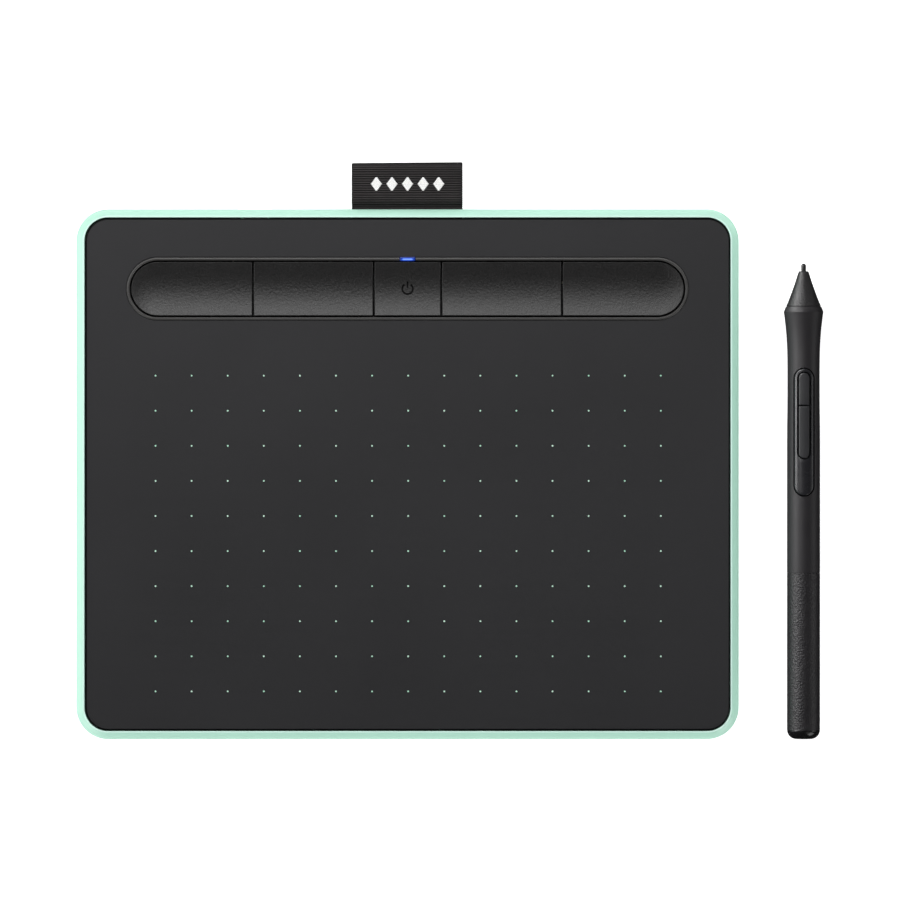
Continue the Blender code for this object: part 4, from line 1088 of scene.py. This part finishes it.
def plate_mesh():
    """The switch's pill-shaped surround: it rises out of the barrel with a rounded edge, and has a slot for the buttons."""
    top, edge = 5.06, 0.3
    outer = lambda g: pill(PLATE_W - 0.6 - 2 * g, PLATE_S0 + 0.3 + g, PLATE_S1 - 0.3 - g, 24)
    inner = lambda g: pill(SWITCH_W + 0.7 + 2 * g, SWITCH_S0 - 0.3 - g, SWITCH_S1 + 0.3 + g, 24)
    rings = [[P(x, s, crown(top, x) - 1.0) for x, s in outer(0.0)]]
    for inset, drop in edge_round(edge):
        rings.append([P(x, s, crown(top, x, drop)) for x, s in outer(inset)])
    for k in range(1, 10):
        rings.append([P(x, s, crown(top, x)) for x, s in blend_outline(outer(edge), inner(0.12), k / 10)])
    for inset, drop in edge_round(0.12, 3)[::-1]:
        rings.append([P(x, s, crown(top, x, drop)) for x, s in inner(inset)])
    rings.append([P(x, s, crown(top, x) - 1.0) for x, s in inner(0.0)])
    return mesh_from("switch_surround", *skin(rings, around=True))


piece("switch_surround", plate_mesh(), PLATE, "pen", ["switch_plate"], "pen_plastic", 30)


def button_mesh(name, s0, s1, round_front):
    """A pen button: flat-crowned, round at its outer end, straight at the split."""
    r = SWITCH_W / 2 - 0.12

    def outline(g):
        w, n = r - g, 24
        if round_front:
            arc = [(w * math.cos(t), s0 + g + w - w * math.sin(t)) for t in (math.pi * k / n for k in range(n + 1))]
            back = [(-w + 2 * w * k / 12, s1 - g) for k in range(13)]
        else:
            arc = [(w * math.cos(t), s1 - g - w + w * math.sin(t)) for t in (math.pi * k / n for k in range(n + 1))]
            back = [(-w + 2 * w * k / 12, s0 + g) for k in range(13)]
        return arc + back

    def height(x):
        return 5.14 + 0.13 * (1 - (x / r) ** 2)

    rings = [[P(x, s, 3.35) for x, s in outline(0.0)]]
    rings += [[P(x, s, height(x) - drop) for x, s in outline(inset)] for inset, drop in edge_round(0.3, 6)]
    base = outline(0.3)
    for k in range(1, 9):
        t = k / 8
        inner = [(x * (1 - t), (s - (s0 + s1) / 2) * (1 - 0.25 * t) + (s0 + s1) / 2) for x, s in base]
        rings.append([P(x, s, height(x)) for x, s in inner])
    return mesh_from(name, *skin(rings, closed=True))


piece("front_button_cap", button_mesh("front_button_cap", SWITCH_S0, SWITCH_SPLIT - 0.15, True), BUTTON, "pen_front_button", ["pen_front_button"], "pen_plastic", 30)
piece("rear_button_cap", button_mesh("rear_button_cap", SWITCH_SPLIT + 0.15, SWITCH_S1, False), BUTTON, "pen_rear_button", ["pen_rear_button"], "pen_plastic", 30)
rear = filleted([(4.66, REAR_S + 0.06), (PEN_BODY_R - 0.01, REAR_S + 0.06), (PEN_BODY_R - 0.01, 140.9), (4.3, 140.9)], (0.05, 0.02), 4)
piece("rear_shell", turned("rear_shell", rear + [(4.3, REAR_S + 7.0), (4.66, REAR_S + 7.0)], STEPS), REAR, "pen_rear", ["rear_barrel"], "pen_grip", 30)
END_R = 2.75
end = [(0.0, 136.5), (4.0, 136.5), (4.0, 140.93), (4.92, 140.93)]
end += [(PEN_BODY_R - 0.02 - END_R + END_R * math.cos(t), PEN_LENGTH - END_R + END_R * math.sin(t)) for t in (math.pi / 2 * k / 16 for k in range(1, 17))] + [(0.0, PEN_LENGTH)]
piece("end_plug", turned("end_plug", end, STEPS), CAP, "pen_rear", ["end_cap"], "pen_plastic", 40)

# ------------------------------------------------------------------ what stays as the CAD made it
for name, look in (("status_led", WHITE), ("sensor_board", board_material()), ("sensor_shield", STEEL), ("sensor_flex", film_material()), ("flex_connector", WHITE),
                   ("processor_chip", CHIP), ("wireless_module", STEEL), ("battery_cell", foil_material()), ("battery_lead", LEAD), ("battery_connector", WHITE),
                   ("loop_anchor_bar", STEEL), ("pen_chassis", BLACK), ("pen_coil", copper_material()), ("pen_pressure_sensor", CHIP), ("pen_front_switch", CHIP),
                   ("pen_rear_switch", CHIP), ("nib_holder", WHITE), ("nib_magazine", WHITE)):
    nodes[name].data.materials[0] = look
for name in ("control_board", "pen_board"):
    nodes[name].data.materials[0] = nodes["sensor_board"].data.materials[0]
for name in ("left_outer", "left_inner", "power", "right_inner", "right_outer"):
    nodes[name + "_key_switch"].data.materials[0] = CHIP
for i in (1, 2, 3):
    nodes[f"spare_nib_{i}"].data.materials[0] = NIB

# ------------------------------------------------------------------ floor, light and camera
def stage_floor():
    """A white light table: it is lit from below, so nothing on it casts a shadow that shows."""
    bpy.ops.mesh.primitive_plane_add(size=12.0, location=(0, 0, -0.0002))
    floor = bpy.context.object
    floor.name = "floor"
    m = Nodes("floor_paper", Roughness=0.9, Specular_IOR_Level=0.1, Emission_Color=(1, 1, 1, 1), Emission_Strength=0.72)
    m.put(Base_Color=m.ramp(m.noise(400.0, 2.0), (0.3, (0.86, 0.86, 0.86)), (0.7, (0.87, 0.87, 0.87))))
    floor.data.materials.append(m.material)
    floor.visible_glossy = False
    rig.stage(floor)
    return floor


def softbox(name, from_vertical, azimuth, power, receivers, size=0.55, distance=1.1):
    """A square softbox this many degrees down from straight up; azimuth 0 is to the right and 90 to the rear."""
    light = bpy.data.lights.new(name, "AREA")
    light.shape = "RECTANGLE"
    light.size, light.size_y = size, size
    light.energy = power
    made = bpy.data.objects.new(name, light)
    t, a = math.radians(from_vertical), math.radians(azimuth)
    made.location = Vector((math.sin(t) * math.cos(a), math.sin(t) * math.sin(a), math.cos(t))) * distance
    made.rotation_euler = (-made.location).to_track_quat("-Z", "Y").to_euler()
    made.visible_camera = False
    bpy.context.scene.collection.objects.link(made)
    made.light_linking.receiver_collection = receivers


# The tablet and the pen each have their own softboxes: the tablet's light comes from the rear, and the pen's from its left.
floor = stage_floor()
LIT_TABLET, LIT_PEN = bpy.data.collections.new("lit_with_tablet"), bpy.data.collections.new("lit_with_pen")
LIT_TABLET.objects.link(floor)
for made in [*LOOKS.objects, *nodes.values()]:
    if made.type == "MESH":
        corners = [made.matrix_world @ Vector(c) for c in made.bound_box]
        (LIT_PEN if sum(c.x for c in corners) / 8 > T(105, 0, 0).x else LIT_TABLET).objects.link(made)
for i, (tilt, azimuth, power) in enumerate(((25, 60, 1.5), (50, 45, 0.4), (50, 90, 4.4), (75, 45, 3.1), (75, 180, 3.8), (75, 225, 5.6), (75, 315, 6.3))):
    softbox(f"tablet_softbox_{i}", tilt, azimuth, power, LIT_TABLET)
softbox("tablet_rear_box", 34, 110, 0.5, LIT_TABLET, 0.25, 0.5)
softbox("tablet_left_box", 46, 151, 1.2, LIT_TABLET, 0.3, 0.72)
for i, (tilt, azimuth, power) in enumerate(((50, 135, 1.5), (50, 315, 0.3), (75, 0, 1.15), (75, 45, 0.65), (75, 90, 1.25), (75, 135, 13.1), (75, 180, 1.4), (75, 315, 2.0))):
    softbox(f"pen_softbox_{i}", tilt, azimuth, power, LIT_PEN)
softbox("pen_top_box", 18, 135, 0.3, LIT_PEN, 0.25, 0.5)
softbox("pen_rear_box", 34, 112, 1.4, LIT_PEN, 0.25, 0.5)
softbox("pen_left_box", 53.5, 170, 2.75, LIT_PEN, 0.3, 0.76)
world = bpy.data.worlds.new("studio")
world.use_nodes = True
world.node_tree.nodes["Background"].inputs["Color"].default_value = (1, 1, 1, 1)
world.node_tree.nodes["Background"].inputs["Strength"].default_value = 0.015
bpy.context.scene.world = world

camera_data = bpy.data.cameras.new("camera")
camera_data.sensor_width = 36.0
DISTANCE, VIEW_W = 3.0, 0.27153
camera_data.lens = 36.0 * DISTANCE / VIEW_W
camera_data.clip_end = 50.0
camera = bpy.data.objects.new("camera", camera_data)
camera.location = (TX * MM + 0.01282, TY * MM + 0.0073, LIP_Z * MM + DISTANCE)
bpy.context.scene.collection.objects.link(camera)
bpy.context.scene.camera = camera
bpy.context.scene.view_settings.view_transform = "Standard"

bpy.data.collections.remove(HELPERS)
with open("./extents.json", "w") as out:
    json.dump({"cad": [list(corner) for corner in cad_box], "visual": [list(corner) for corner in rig.bounds()]}, out)
